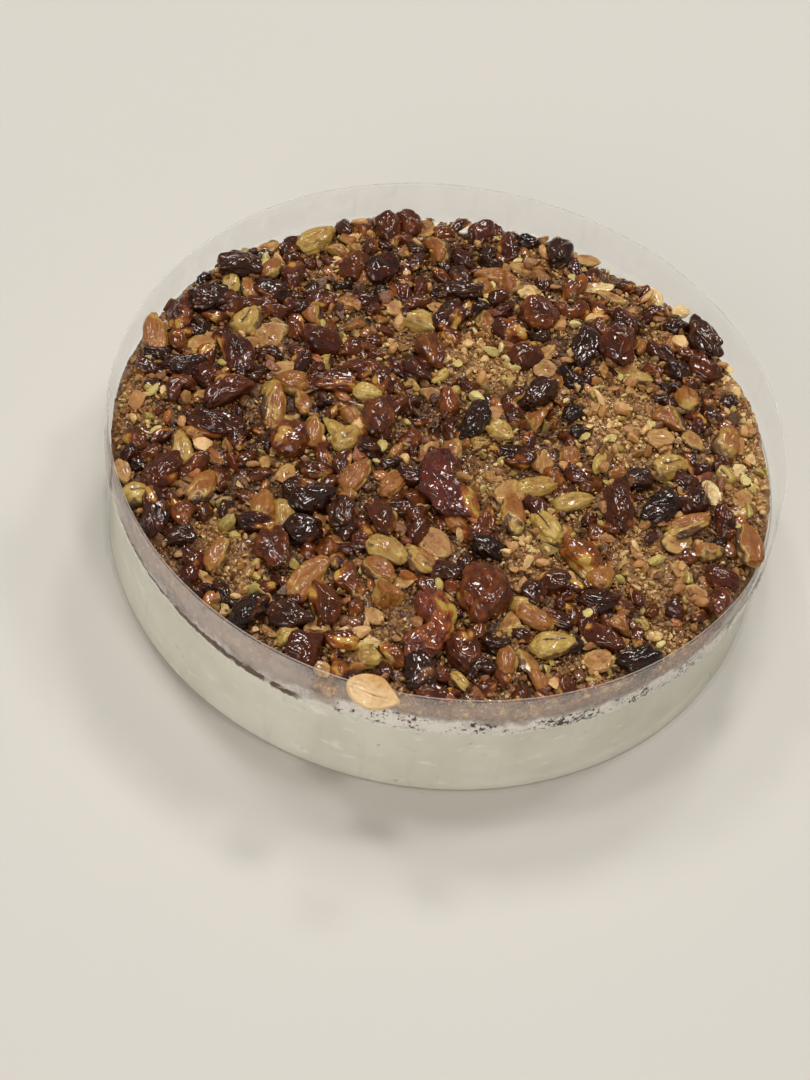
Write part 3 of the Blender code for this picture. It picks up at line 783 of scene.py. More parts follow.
def random_spots(draw, count, margin):
    """Points spread at random over the topping, up to a margin from its edge."""
    angles = draw.uniform(0, 2 * math.pi, count)
    edge = np.array([topping_edge(angle) for angle in angles])
    radii = np.sqrt(draw.uniform(0, 1, count)) * (edge - margin)
    return radii * np.cos(angles), radii * np.sin(angles)


def bed_level(x, y):
    """Height of the crumbs, which drop a little at the topping's edge."""
    near_edge = max(0.0, (math.hypot(x, y) / topping_edge(math.atan2(y, x)) - 0.94) / 0.06)
    return topping_top(x, y) - EDGE_DROP * near_edge ** 2


def turned(name, rings, sides):
    """A closed turned solid made by extruding a circle from ring to ring. Rings are (radius, height)."""
    deselect()
    first_radius, first_height = rings[0]
    bpy.ops.mesh.primitive_circle_add(vertices=sides, radius=first_radius, location=(0, 0, first_height))
    piece = bpy.context.object
    piece.name = name
    bpy.ops.object.transform_apply(location=True, rotation=True, scale=True)
    bpy.ops.object.mode_set(mode="EDIT")
    bpy.ops.mesh.select_all(action="SELECT")
    radius, height = first_radius, first_height
    for next_radius, next_height in rings[1:]:
        bpy.ops.mesh.extrude_edges_move(TRANSFORM_OT_translate={"value": (0, 0, next_height - height)})
        share = next_radius / radius
        bpy.ops.transform.resize(value=(share, share, 1))
        radius, height = next_radius, next_height
    bpy.ops.mesh.edge_face_add()
    close_up(bpy.ops.mesh.edge_face_add)
    return piece


def cream_finish(colours):
    finish = Finish("mastic_cream", {"Specular IOR Level": 0.35})
    place = finish.place()
    cloud = finish.noise(place, 24 * MM, detail=3)
    smear = finish.noise(finish.stretched(place, (1, 1, 2.4)), 9 * MM, detail=6, roughness=0.7)
    speck = finish.noise(place, 2.2 * MM, detail=2)
    scratch = finish.noise(finish.stretched(place, (1, 1, 4)), 6 * MM, detail=4)
    smudge = finish.noise(finish.stretched(place, (1, 1, 1.8)), 7 * MM, detail=3)
    base = finish.layers(
        colours.cream,
        (cloud.above(0.35, 0.7), (214, 210, 190)),
        (smear.above(0.56, 0.68) * 0.8, (244, 238, 222)),
        (scratch.above(0.66, 0.72) * 0.3, (160, 152, 130)),
        (smudge.above(0.70, 0.78) * 0.5, (150, 142, 120)),
        (speck.above(0.70, 0.74) * 0.4, (120, 108, 84)),
    )
    relief = finish.noise(place, 9 * MM, detail=4) + 0.3 * finish.noise(place, 1.6 * MM, detail=3)
    normal = finish.bump(relief, 0.5 * MM, 0.5)
    return finish.connect(Base_Color=base, Roughness=0.42 + 0.2 * cloud, Normal=normal)


def film_finish(colours):
    """Clear film. Its front carries haze over the topping, a ragged smear of cream and dark specks."""
    finish = Finish("clear_film", {"IOR": 1.45})
    place = finish.place()
    axes = finish.node("ShaderNodeSeparateXYZ", {}, {0: place})
    across, height = Socket(finish, axes.outputs["X"]), Socket(finish, axes.outputs["Z"])
    front = (0 - Socket(finish, axes.outputs["Y"])).above(-5 * MM, 35 * MM)
    right = across.above(-34 * MM, -16 * MM)
    clear_spot = across.above(-26 * MM, -21 * MM) * (1 - across.above(-18 * MM, -14 * MM))
    ragged = (finish.noise(place, 6 * MM, detail=5, roughness=0.7) - 0.5) * (8 * MM)
    cloud = finish.noise(place, 9 * MM, detail=5, roughness=0.7).above(0.38, 0.60)

    haze = (height + ragged * 0.5).above(31 * MM, 33 * MM) * (0.55 + 0.45 * cloud) * (0.12 + 0.88 * front)
    haze = haze * (1 - 0.6 * clear_spot)
    below_rim = 1 - height.above(FILM_HEIGHT - 1.4 * MM, FILM_HEIGHT - 0.6 * MM)

    fray = (finish.noise(place, 2.4 * MM, detail=4, roughness=0.7) - 0.5) * (4.4 * MM)
    thick = 0.40 + 0.60 * across.above(-80 * MM, -52 * MM)
    off_line = (height + 0.049 * across - 29.4 * MM + fray).size() / thick
    line = (1 - off_line.above(0.8 * MM, 1.5 * MM)) * finish.noise(place, 5 * MM, detail=3).above(0.28, 0.38)
    line = line * front * across.above(-90 * MM, -84 * MM) * (1 - across.above(-29 * MM, -24 * MM))

    wavy = (finish.noise(place, 19 * MM, detail=2) - 0.5) * (9 * MM)
    smear_top = 1 - (height + ragged * 0.8 + wavy - 2.2 * MM * right).above(32.6 * MM, 35.0 * MM)
    smear = (height + ragged * 0.5).above(29.8 * MM, 31.6 * MM) * smear_top * front
    smear = smear * (0.45 + 0.55 * right) * (1 - 0.8 * clear_spot)

    grain = finish.noise(place, 1.2 * MM, detail=4, roughness=0.65)
    patch = finish.noise(place, 8 * MM, detail=2).above(0.40, 0.62)
    low_right = across.above(36 * MM, 46 * MM) * (1 - across.above(66 * MM, 74 * MM))
    low_right = low_right * (1 - height.above(32.0 * MM, 34.0 * MM))
    specks = (grain + 0.12 * patch + 0.08 * low_right).above(0.635, 0.67) * smear.above(0.2, 0.6) * right

    granules = finish.noise(place, 2.2 * MM, detail=5, roughness=0.68)
    dust = granules.above(0.57, 0.66) * haze * front * (0.4 + 0.6 * patch)
    golden = (1 - granules).above(0.55, 0.68) * haze * front * (0.35 + 0.65 * patch) * right

    # Painted highlight: a pale, more opaque thin band along the film's top edge, as if it caught the light.
    rim = height.above(FILM_HEIGHT - 0.5 * MM, FILM_HEIGHT - 0.2 * MM)
    streaks = finish.noise(finish.stretched(place, (1, 1, 0.12)), 4 * MM, detail=4).above(0.55, 0.8)
    alpha = 0.04 + (0.50 - 0.22 * right) * haze * below_rim + 0.85 * smear * (0.65 + 0.35 * cloud)
    alpha = alpha + 0.45 * specks + 0.80 * line + 0.34 * dust + 0.36 * golden
    alpha = (alpha + 0.04 * streaks + 0.34 * rim).limited()
    base = finish.layers(
        colours.film, (haze, (212, 198, 188)), (smear, (232, 225, 214)), (dust, (236, 216, 194)),
        (golden, (190, 154, 112)), (specks, (70, 52, 42)), (line, (94, 68, 50)),
    )
    return finish.connect(Base_Color=base, Alpha=alpha, Roughness=0.08 + 0.4 * haze.most(smear))


def bed_finish(colours):
    """Fine granules bound by caramel: every grain has its own tone, and the hollows are glossy dark caramel
    with painted shade in them.
    """
    finish = Finish("caramel_bed", {"Coat Roughness": 0.10})
    place = finish.place()
    light = finish.attribute("tint")
    grain = finish.noise(place, 1.6 * MM, detail=4, roughness=0.7)
    granules, own_tone = finish.cells(place, 1.25 * MM)
    syrup = finish.noise(place, 7 * MM, detail=3).above(0.50, 0.58)
    tone = (light * 0.56 + own_tone * 0.46 + (grain - 0.5) - 0.14).limited()
    base = finish.layers(
        finish.ramp(tone, colours.caramel, colours.crumb, colours.pale_crumb),
        # Dark caramel between the granules, deepened as painted shade in the hollows.
        (granules.above(0.40, 0.75) * (1 - 0.7 * light) * 0.8, (40, 22, 12)),
        (syrup * 0.45, (120, 66, 26)),
    )
    relief = (1 - granules) + 0.5 * grain
    return finish.connect(Base_Color=base, Roughness=0.24 + 0.4 * grain, Coat_Weight=0.9 * syrup,
                          Normal=finish.bump(relief, 0.55 * MM))


def crumb_finish(name, dark, middle, pale, roughness):
    """Crumbs whose tone runs with their tint, with a little grain on each and a thin gloss of caramel."""
    finish = Finish(name, {"Specular IOR Level": 0.45})
    place = finish.place()
    grain = finish.noise(place, 1.1 * MM, detail=4, roughness=0.65)
    base = finish.ramp((finish.attribute("tint") + (grain - 0.5) * 0.8).limited(), dark, middle, pale)
    normal = finish.bump(finish.noise(place, 0.7 * MM, detail=3), 0.3 * MM, 0.8)
    return finish.connect(Base_Color=base, Roughness=roughness + 0.25 * grain, Normal=normal)


def glaze_finish(name, deep, warm, thin, flesh, flesh_share, plum, plum_share):
    """Skin under a thick wet glaze: dark where it is deep, amber where it is thin, with flesh on one side."""
    finish = Finish(name, {"Coat Weight": 1.0, "Coat Roughness": 0.06, "Coat IOR": 1.42,
                           "Specular IOR Level": 0.12, "Specular Tint": (1.0, 0.80, 0.60, 1.0)})
    place = finish.attribute("place", "Vector")
    skin = finish.attribute("skin")
    cloud = finish.noise(place, 4.5 * MM, detail=5, roughness=0.65)
    streak = finish.noise(finish.stretched(place, (0.35, 1, 1)), 1.5 * MM, detail=4)
    tone = (cloud * 1.5 + finish.attribute("tint") * 0.50 + (streak - 0.5) * 0.6 - 0.56).limited()
    edge = (skin + (streak - 0.5) * 0.5) - (1.0 - flesh_share)
    base = finish.layers(
        deep,
        (tone.above(0.0, 0.55), warm),
        (tone.above(0.50, 1.0) * 0.9, thin),
        (finish.noise(place, 6 * MM, detail=3).above(0.48, 0.62) * plum_share, plum),
        (edge.above(-0.22, 0.02), thin),
        (edge.above(0.02, 0.16), flesh),
        # Painted shade: near-black in the hollow of the curled nut, where skin is -2.
        ((0 - skin).above(1.2, 1.6), (10, 5, 4)),
    )
    sparkle = finish.noise(place, 0.9 * MM, detail=2)
    normal = finish.bump(0.75 * sparkle + 0.25 * streak, 0.34 * MM, 0.9)
    return finish.connect(Base_Color=base, Roughness=0.09 + 0.16 * streak, Normal=normal)


def kernel_finish(name, flesh, warm, skin_colour, skin_share, roughness, grain=0.45, coat=0.7):
    """A kernel's flesh with grain along it and browner blotches, a pale rim, and thin skin below it."""
    finish = Finish(name, {"Coat Weight": coat, "Coat Roughness": 0.06, "Coat IOR": 1.38,
                           "Specular IOR Level": 0.25})
    place = finish.attribute("place", "Vector")
    cloud = finish.noise(place, 3.0 * MM, detail=5, roughness=0.7)
    streak = finish.noise(finish.stretched(place, (0.3, 1, 1)), 0.9 * MM, detail=4)
    blotches = finish.noise(place, 2.2 * MM, detail=3).above(0.58, 0.68)
    left = (finish.attribute("skin") + (cloud - 0.5) * 0.9) - (1.0 - skin_share)
    base = finish.layers(
        flesh,
        ((cloud * 2.0 + finish.attribute("tint") * 0.9 - 0.95).limited(), warm),
        (streak.above(0.50, 0.70) * grain, (104, 58, 26)),
        (blotches * min(0.55, 1.2 * grain), (96, 50, 24)),
        ((1 - cloud).above(0.57, 0.70) * 0.5, (232, 196, 116)),
        (left.above(-0.26, -0.06) * 0.55, (196, 166, 84)),
        (left.above(-0.02, 0.22) * 0.9, skin_colour),
        (left.above(0.25, 0.65) * 0.7, (46, 24, 16)),
    )
    relief = 0.5 * streak + 0.3 * cloud + 0.2 * finish.noise(place, 0.8 * MM, detail=2)
    return finish.connect(Base_Color=base, Roughness=roughness + 0.2 * cloud,
                          Normal=finish.bump(relief, 0.5 * MM, 0.9))


def piece_finishes(colours):
    """The finish of each kind of kernel, by the name of its kind."""
    plum, skin = (56, 29, 20), colours.purple_skin
    return {
        "hooked_glazed": glaze_finish("plum_glaze", (46, 16, 13), (98, 42, 30), (158, 86, 38),
                                      (180, 150, 66), 0.34, (84, 48, 44), 0.5),
        "dark_glazed": glaze_finish("black_glaze", colours.black_glaze, (50, 23, 12), (92, 48, 22),
                                    (130, 84, 40), 0.24, plum, 0.25),
        "red_glazed": glaze_finish("red_glaze", (34, 13, 6), colours.red_glaze, (132, 68, 26),
                                   (180, 136, 62), 0.34, plum, 0.35),
        "amber_glazed": glaze_finish("amber_glaze", (58, 25, 10), colours.amber_glaze, (160, 91, 31),
                                     (192, 150, 70), 0.42, plum, 0.30),
        "roasted_kernel": kernel_finish("roasted_flesh", colours.roasted, (134, 74, 30), skin, 1.02, 0.30),
        "green_kernel": kernel_finish("green_flesh", colours.green, (154, 106, 44), skin, 0.92, 0.32),
        "split_half": kernel_finish("tan_flesh", colours.tan, (144, 88, 42), (100, 62, 40), 0.95, 0.38),
    }


class CAKE_OT_cream(bpy.types.Operator):
    """Make the mastic cream"""

    bl_idname = "cake.make_cream"
    bl_label = "Cream"

    def execute(self, context):
        radius = CAKE_RADIUS - 0.5 * MM
        bevel = FOOT_BEVEL
        rings = [(radius - bevel, 0.0), (radius - 0.35 * bevel, 0.35 * bevel), (radius, bevel)]
        rings += [(radius, bevel + (CREAM_LEVEL - 2 * bevel) * i / 14) for i in range(1, 15)]
        rings += [(radius - 0.4 * MM, CREAM_LEVEL - 0.3 * MM), (radius - 1.4 * MM, CREAM_LEVEL)]
        rings += [(radius * share, CREAM_LEVEL) for share in (0.93, 0.86, 0.78, 0.7, 0.6, 0.5, 0.4, 0.3, 0.2)]
        cream = turned("cream", rings, CREAM_SIDES)
        for vertex in cream.data.vertices:
            x, y, z = vertex.co
            reach = math.hypot(x, y)
            if reach > radius - 0.2 * MM and z > 2 * bevel:
                angle = math.atan2(y, x)
                slack = 1.3 * MM * max(0.0, math.cos(angle + 0.2)) ** 2
                dent = 0.25 * MM * (1 + noise.noise(vertex.co / (16 * MM)))
                share = 1 - (slack + dent) / reach
                vertex.co.x, vertex.co.y = x * share, y * share
            if z > CREAM_LEVEL - bevel - 0.1 * MM:
                vertex.co.z += cream_top(x, y) - CREAM_LEVEL - 0.2 * MM
        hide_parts("cream_cake")
        finish_piece(cream, cream_finish(context.scene.cake_colours))
        return {"FINISHED"}


class CAKE_OT_film(bpy.types.Operator):
    """Make the clear film collar and its overlapping end"""

    bl_idname = "cake.make_film"
    bl_label = "Film collar"

    def execute(self, context):
        wave = context.scene.cake_sizes.film_wave
        deselect()
        bpy.ops.mesh.primitive_grid_add(x_subdivisions=FILM_SIDES, y_subdivisions=FILM_ROWS, size=1)
        film = named("film")
        sweep = 2 * math.pi + FILM_OVERLAP
        start = FILM_END - FILM_OVERLAP
        for vertex in film.data.vertices:
            turn = sweep * (vertex.co.x + 0.5)
            lapped = max(0.0, min(1.0, (turn - 2 * math.pi + FILM_OVERLAP) / FILM_OVERLAP))
            height = GAP + (FILM_HEIGHT - GAP) * (vertex.co.y + 0.5)
            angle = start + turn
            spot = Vector((math.cos(angle) * 1.6, math.sin(angle) * 1.6, height / (60 * MM)))
            sway = wave * noise.noise(spot)
            rise = max(0.0, height - CREAM_LEVEL) / (FILM_HEIGHT - CREAM_LEVEL)
            radius = FILM_RADIUS - FILM_WALL / 2 + (FILM_WALL + GAP) * lapped - (wave - sway) * rise
            vertex.co = (radius * math.cos(angle), radius * math.sin(angle), height)
        shell = film.modifiers.new("Film", "SOLIDIFY")
        shell.thickness = SHOWN_WALL
        shell.offset = 0
        bpy.ops.object.modifier_apply(modifier="Film")
        bpy.ops.object.mode_set(mode="EDIT")
        close_up()
        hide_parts("film_collar")
        finish_piece(film, film_finish(context.scene.cake_colours))
        return {"FINISHED"}


def disc_point(across, along):
    """A point of the square from -1 to 1 moved to the round disc, so that the square's grid stays even."""
    if abs(across) >= abs(along):
        turn = math.pi / 4 * (along / across if across else 0)
        return across * math.cos(turn), across * math.sin(turn)
    turn = math.pi / 2 - math.pi / 4 * across / along
    return along * math.cos(turn), along * math.sin(turn)


class CAKE_OT_bed(bpy.types.Operator):
    """Make the caramel-bound bed that the crumbs lie on"""

    bl_idname = "cake.make_bed"
    bl_label = "Nut bed"

    def execute(self, context):
        deselect()
        bpy.ops.mesh.primitive_grid_add(
            x_subdivisions=BED_GRID, y_subdivisions=BED_GRID, size=2, location=(0, 0, 1))
        bed = named("nut_bed")
        bpy.ops.object.transform_apply(location=True, rotation=True, scale=True)
        bpy.ops.object.mode_set(mode="EDIT")
        bpy.ops.mesh.select_all(action="DESELECT")
        bpy.ops.mesh.select_non_manifold()
        for _ in range(BED_LEVELS):
            bpy.ops.mesh.extrude_edges_move(TRANSFORM_OT_translate={"value": (0, 0, -1 / BED_LEVELS)})
        bpy.ops.mesh.edge_face_add()
        close_up()
        tints = []
        for vertex in bed.data.vertices:
            across, along, level = vertex.co
            unit_x, unit_y = disc_point(across, along)
            edge = topping_edge(math.atan2(unit_y, unit_x))
            x, y = unit_x * edge, unit_y * edge
            spot = Vector((x, y, level * 8 * MM))
            lumps = 0.55 * noise.noise(spot / (3.4 * MM)) + 0.45 * noise.noise(spot / (1.7 * MM))
            near_edge = max(0.0, (math.hypot(unit_x, unit_y) - 0.94) / 0.06)
            top = topping_top(x, y) - 0.35 * MM - EDGE_DROP * near_edge ** 2
            foot = cream_top(x, y)
            z = foot + (top - foot) * level + (lumps * 1.1 * MM if level > 0.9 else 0)
            side = min(1.0, near_edge) * lumps * 0.5 * MM
            share = min((edge + side), CAKE_RADIUS - 0.2 * MM) / edge
            vertex.co = (x * share, y * share, z)
            # The bed's side towards the front gets a lighter tint: partly the golden crumbs there, partly
            # painted light on that shaded side.
            golden_and_lit_front = near_edge * max(0.0, -y / edge)
            tints.append(max(lightness(x, y), min(0.85, 1.4 * golden_and_lit_front)))
        add_values(bed.data, "tint", tints)
        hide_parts("nut_topping")
        finish_piece(bed, bed_finish(context.scene.cake_colours))
        return {"FINISHED"}


class CAKE_OT_crumbs(bpy.types.Operator):
    """Scatter the fine and coarse crumbs over the bed"""

    bl_idname = "cake.make_crumbs"
    bl_label = "Crumbs"

    def execute(self, context):
        sizes = context.scene.cake_sizes
        colours = context.scene.cake_colours
        tan = crumb_finish("tan_crumb", (88, 56, 30), colours.crumb, colours.pale_crumb, 0.14)
        green = crumb_finish("green_crumb", (132, 104, 50), (190, 162, 86), (226, 206, 140), 0.34)
        draw = np.random.default_rng(SEEDS["crumbs"])
        fine = chip_templates(12, 1, 0.25, 21)
        coarse = chip_templates(12, 2, 0.10, 22)
        halves = sizes.fine_crumbs // 2
        nuts = [row for rows in PIECES.values() for row in rows]
        nuts += [row for rows in filler_rows(sizes.fillers).values() for row in rows]
        for name, templates, count, mean, seed, material, slot in (
            ("fine_crumbs_a", fine, halves, sizes.crumb_size, 31, tan, "crumbs"),
            ("fine_crumbs_b", fine, halves, sizes.crumb_size, 32, tan, "crumbs"),
            ("coarse_crumbs", coarse, sizes.coarse_crumbs, 2.2 * sizes.crumb_size, 33, tan, "crumbs"),
            ("green_crumbs", coarse, sizes.green_crumbs, 1.8 * sizes.crumb_size, 34, green, "green_kernel"),
        ):
            xs, ys = random_spots(draw, 4 * count, 1.3 * MM)
            seen = np.flatnonzero(uncovered(xs, ys, nuts, 0.8))[:count]
            xs, ys, count = xs[seen], ys[seen], len(seen)
            lengths = random_lengths(draw, count, mean, 0.42, 0.45 * mean, 2.4 * mean)
            shapes = chip_sizes(draw, lengths, (0.45, 0.9), (0.35, 0.75))
            lifts = draw.uniform(-0.10, 0.45, count) * lengths
            spots = [(x, y, bed_level(x, y) + lift) for x, y, lift in zip(xs, ys, lifts)]
            tints = np.clip(0.14 + 0.66 * lightness_of(xs, ys) + draw.normal(0, 0.26, count), 0, 1)
            crumbs = chips_mesh(name, *templates, spots, shapes, tints, 0.3, seed)
            finish_piece(crumbs, material, smooth=False)
        return {"FINISHED"}


class CAKE_OT_crumb_line(bpy.types.Operator):
    """Press dark crumbs against the film where the topping meets the cream"""

    bl_idname = "cake.make_crumb_line"
    bl_label = "Crumb line"

    def execute(self, context):
        draw = np.random.default_rng(SEEDS["crumb_line"])
        spots, shapes, tints = [], [], []
        for _ in range(LINE_TRIES):
            turn = draw.uniform(200, 330)
            angle = math.radians(turn)
            drift = noise.noise(around(angle, 0.0, 7))
            clump = noise.noise(around(angle, 0.6, 26))
            left_line = math.exp(-((turn - 236) / 15) ** 4)
            specks = 0.30 * math.exp(-((turn - 306) / 9) ** 2) + 0.06 * math.exp(-((turn - 285) / 15) ** 2)
            if draw.uniform() > left_line * (0.55 + clump) + specks * (1 + 1.5 * clump):
                continue
            slope = 2.2 * MM * left_line * (236 - turn) / 20
            spread = 0.55 * left_line + 1.3 * (1 - left_line)
            z = CREAM_LEVEL + slope + (0.2 + 0.9 * drift + 1.2 * clump) * MM
            z += abs(draw.normal(0, spread)) * MM
            size = draw.uniform(0.45, 1.2) * MM
            radius = CAKE_RADIUS - 0.1 * MM - 0.2 * size
            spots.append((radius * math.cos(angle), radius * math.sin(angle), z))
            shapes.append((size / 2, size / 2, size / 3))
            tints.append(draw.uniform(0, 0.55))
        dark = crumb_finish("dark_crumb", (58, 34, 22), (98, 64, 42), (150, 110, 74), 0.4)
        line = chips_mesh("crumb_line", *chip_templates(8, 1, 0.25, 82), spots, shapes, tints, 0.3, 83)
        finish_piece(line, dark, smooth=False)
        return {"FINISHED"}


class CAKE_OT_kernels(bpy.types.Operator):
    """Make the whole and halved kernels that lie on the bed, and the crumbs stuck to them"""

    bl_idname = "cake.make_kernels"
    bl_label = "Kernels"

    def execute(self, context):
        finishes = piece_finishes(context.scene.cake_colours)
        draw = np.random.default_rng(SEEDS["kernels"])
        stuck = []
        seed = 0
        for kind, rows in PIECES.items():
            long_rows = [row for row in rows if row[2] >= BERRY_LENGTH]
            for number, row in enumerate(long_rows, 1):
                seed += 1
                node = f"{kind}_{number:02d}"
                nut = shaped_nut(f"{node}_nut", kind, *piece_placing(kind, row, seed), seed, 5)
                stuck += stuck_spots(nut, draw, 5)
                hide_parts(node)
                finish_piece(nut, finishes[kind])
        seed = 100
        for kind, rows in PIECES.items():
            nuts = []
            for row in (row for row in rows if row[2] < BERRY_LENGTH):
                seed += 1
                nuts.append(shaped_nut("short_nut", kind, *piece_placing(kind, row, seed), seed, 4))
                stuck += stuck_spots(nuts[-1], draw, 5)
            if nuts:
                finish_piece(joined(f"short_{kind}", nuts), finishes[kind])
        seed = 300
        for kind, rows in filler_rows(context.scene.cake_sizes.fillers).items():
            nuts = []
            glazed = kind in GLAZED
            for row in rows:
                seed += 1
                placing = piece_placing(kind, row, seed, 0.12, 2.2)
                rings = 4 if row[2] > FINE_FILLER_LENGTH else 3
                curled = glazed and seed % 4 == 0
                nuts.append(shaped_nut("filler_nut", kind, *placing, seed, rings, not glazed, curled))
                stuck += stuck_spots(nuts[-1], draw, 4)
            finish_piece(joined(f"filler_{kind}", nuts), finishes[kind])
        golden = crumb_finish("golden_crumb", (110, 68, 34), (184, 132, 72), (228, 190, 124), 0.24)
        sizes = draw.uniform(0.25, 0.62, (len(stuck), 1)) * MM * draw.uniform(0.6, 1, (len(stuck), 3))
        tints = draw.uniform(0.1, 0.9, len(stuck))
        crumbs = chips_mesh("stuck_crumbs", *chip_templates(8, 1, 0.25, 92), stuck, sizes, tints, 0.3, 93)
        finish_piece(crumbs, golden, smooth=False)
        return {"FINISHED"}


class CAKE_OT_caramel(bpy.types.Operator):
    """Make the drops of clear caramel set between the nuts"""

    bl_idname = "cake.make_caramel"
    bl_label = "Caramel drops"

    def execute(self, context):
        draw = np.random.default_rng(SEEDS["caramel"])
        xs, ys = random_spots(draw, 700, 3 * MM)
        kept = [(x, y) for x, y in zip(xs, ys) if lightness(x, y) < draw.uniform(0.2, 0.75)]
        kept = kept[:CARAMEL_DROPS]
        lengths = random_lengths(draw, len(kept), 4.2 * MM, 0.35, 2 * MM, 9 * MM)
        spots = [(x, y, topping_top(x, y) + 0.25 * MM) for x, y in kept]
        shapes = chip_sizes(draw, lengths, (0.4, 0.8), (0.25, 0.4))
        finish = Finish("clear_caramel", {"Coat Weight": 1.0, "Coat Roughness": 0.05, "IOR": 1.5})
        tint = finish.attribute("tint")
        cloud = finish.noise(finish.place(), 2.5 * MM, detail=4)
        base = finish.mix((tint * 0.7 + cloud * 0.9 - 0.3).limited(), (74, 34, 16), (176, 104, 40))
        normal = finish.bump(finish.noise(finish.place(), 1.4 * MM, detail=3), 0.3 * MM, 0.6)
        caramel = finish.connect(Base_Color=base, Roughness=0.12 + 0.2 * cloud, Normal=normal)
        tints = draw.uniform(0, 1, len(kept))
        templates = chip_templates(8, 2, 0.02, 102, 0)
        drops = chips_mesh("caramel_drops", *templates, spots, shapes, tints, 0.9, 103)
        finish_piece(drops, caramel)
        return {"FINISHED"}


class CAKE_OT_pale_bits(bpy.types.Operator):
    """Make the pale kernel pieces, and the cream-coloured dabs on the topping that paint reflections in the
    film
    """

    bl_idname = "cake.make_pale_bits"
    bl_label = "Pale bits"

    def execute(self, context):
        colours = context.scene.cake_colours
        pale = kernel_finish("pale_kernel", (230, 202, 144), (210, 164, 92), (178, 124, 66), 0.5, 0.36)
        for name, rows, first_seed, sink, tip, chopped, material, slot in (
            ("pale_bits", PALE_BITS, 500, 0.0, 1.6, True, pale, "split_half"),
            # The dabs paint reflections in the film, in the cream's colour.
            ("painted_reflection_dabs", PAINTED_REFLECTION_DABS, 540, 0.2, 1.0, False, cream_finish(colours), "cream"),
        ):
            bits = []
            for seed, row in enumerate(rows, first_seed):
                placing = piece_placing("split_half", row, seed, sink, tip)
                bits.append(shaped_nut("bit", "split_half", *placing, seed, 4, chopped))
            finish_piece(joined(name, bits), material)
        return {"FINISHED"}


class CAKE_OT_chunks(bpy.types.Operator):
    """Scatter broken kernel pieces between the whole ones"""

    bl_idname = "cake.make_chunks"
    bl_label = "Chunks"

    def execute(self, context):
        colours = context.scene.cake_colours
        draw = np.random.default_rng(SEEDS["chunks"])
        templates = chip_templates(14, 2, 0.06, 52)
        kinds = (
            ("glazed_chunks", "red_glazed", 0.26,
             crumb_finish("chunk_glaze", (48, 20, 12), (104, 50, 26), (168, 98, 46), 0.12)),
            ("roasted_chunks", "roasted_kernel", 0.54,
             crumb_finish("chunk_roasted", (110, 64, 32), (184, 128, 70), (228, 186, 124), 0.28)),
            ("green_chunks", "green_kernel", 0.20,
             crumb_finish("chunk_green", (124, 96, 42), (186, 162, 84), (222, 202, 130), 0.32)),
        )
        for number, (name, slot, share, material) in enumerate(kinds):
            count = int(context.scene.cake_sizes.chunks * share)
            xs, ys = random_spots(draw, 4 * count, 3 * MM)
            light = lightness_of(xs, ys)
            wanted = (0.35 - light if slot in GLAZED else light - 0.30) > draw.uniform(-0.5, 0.3, len(xs))
            picked = np.flatnonzero(wanted)[:count]
            xs, ys, count = xs[picked], ys[picked], len(picked)
            lengths = random_lengths(draw, count, 4.0 * MM, 0.30, 2.0 * MM, 7.5 * MM)
            shapes = chip_sizes(draw, lengths, (0.5, 0.85), (0.3, 0.6))
            spots = [(x, y, topping_top(x, y) + 0.22 * length) for x, y, length in zip(xs, ys, lengths)]
            tints = draw.uniform(0.05, 0.95, count)
            chunks = chips_mesh(name, *templates, spots, shapes, tints, 0.6, 60 + number)
            finish_piece(chunks, material, smooth=False)
        return {"FINISHED"}


def rim_half_shape(point):
    """A split half that is round at its left end and drawn to a point at its right end."""
    taper = 1 - 0.55 * max(0.0, point.x) ** 2
    crown = 0.10 * (1 - point.x ** 2) * max(0.0, point.y)
    flat = min(point.z, 0.45)
    return lumpy(Vector((point.x, point.y * taper + crown, flat)), 3, 0.06, 1.4)


class CAKE_OT_rim_half(bpy.types.Operator):
    """Make the pale split half that lies across the film's rim"""

    bl_idname = "cake.make_rim_half"
    bl_label = "Half on the rim"

    def execute(self, context):
        colours = context.scene.cake_colours
        size = [RIM_HALF[key] * MM / 2 for key in ("length", "width", "height")]
        x = RIM_HALF["x"] * MM
        y = -math.sqrt(FILM_RADIUS ** 2 - x ** 2) - RIM_HALF["out"] * MM
        placing = Matrix.Translation((x, y, FILM_HEIGHT - RIM_HALF["drop"] * MM - RIM_HALF_SETTLED))
        placing @= Matrix.Rotation(math.radians(RIM_HALF["lean"]), 4, "X")
        placing @= Matrix.Rotation(math.radians(RIM_HALF["turn"]), 4, "Z")
        placing @= Matrix.Translation((0, 0, size[2] + 2 * GAP))
        half = new_ball("rim_half", 6)
        places, skins, tones = [], [], []
        for vertex in half.data.vertices:
            unit = vertex.co.copy()
            on_face = float(unit.z > 0.40)
            seam_line = unit.y + 0.10 - 0.12 * unit.x
            seam = math.exp(-(seam_line / 0.07) ** 2) * max(0.0, 1 - abs(unit.x - 0.1) / 0.75)
            dish = max(0.0, 1 - (unit.x / 0.85) ** 2 - (unit.y / 0.8) ** 2)
            folds = 0.05 * crease(Vector((unit.x * 0.8, unit.y, 0.0)), 3, 3.4)
            local = rim_half_shape(unit)
            local.z -= on_face * (0.22 * seam + 0.16 * dish - folds)
            local = RIM_HALF_SHARE * Vector([part * length for part, length in zip(local, size)])
            places.append(local)
            skins.append(0.9 * seam * on_face - 0.6)
            tones.append(0.9 * max(0.0, unit.y - 0.05) + 0.7 * seam - 0.12)
            vertex.co = placing @ local
            vertex.co.z = min(vertex.co.z, CAD_BOX[1].z)
        add_places(half.data, places)
        add_values(half.data, "skin", skins)
        add_values(half.data, "tint", tones)
        pale = kernel_finish("pale_half", (230, 194, 144), (206, 144, 70), (160, 98, 66),
                             0.90, 0.45, 0.16, 0.2)
        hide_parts("split_half_rim")
        finish_piece(half, pale)
        return {"FINISHED"}


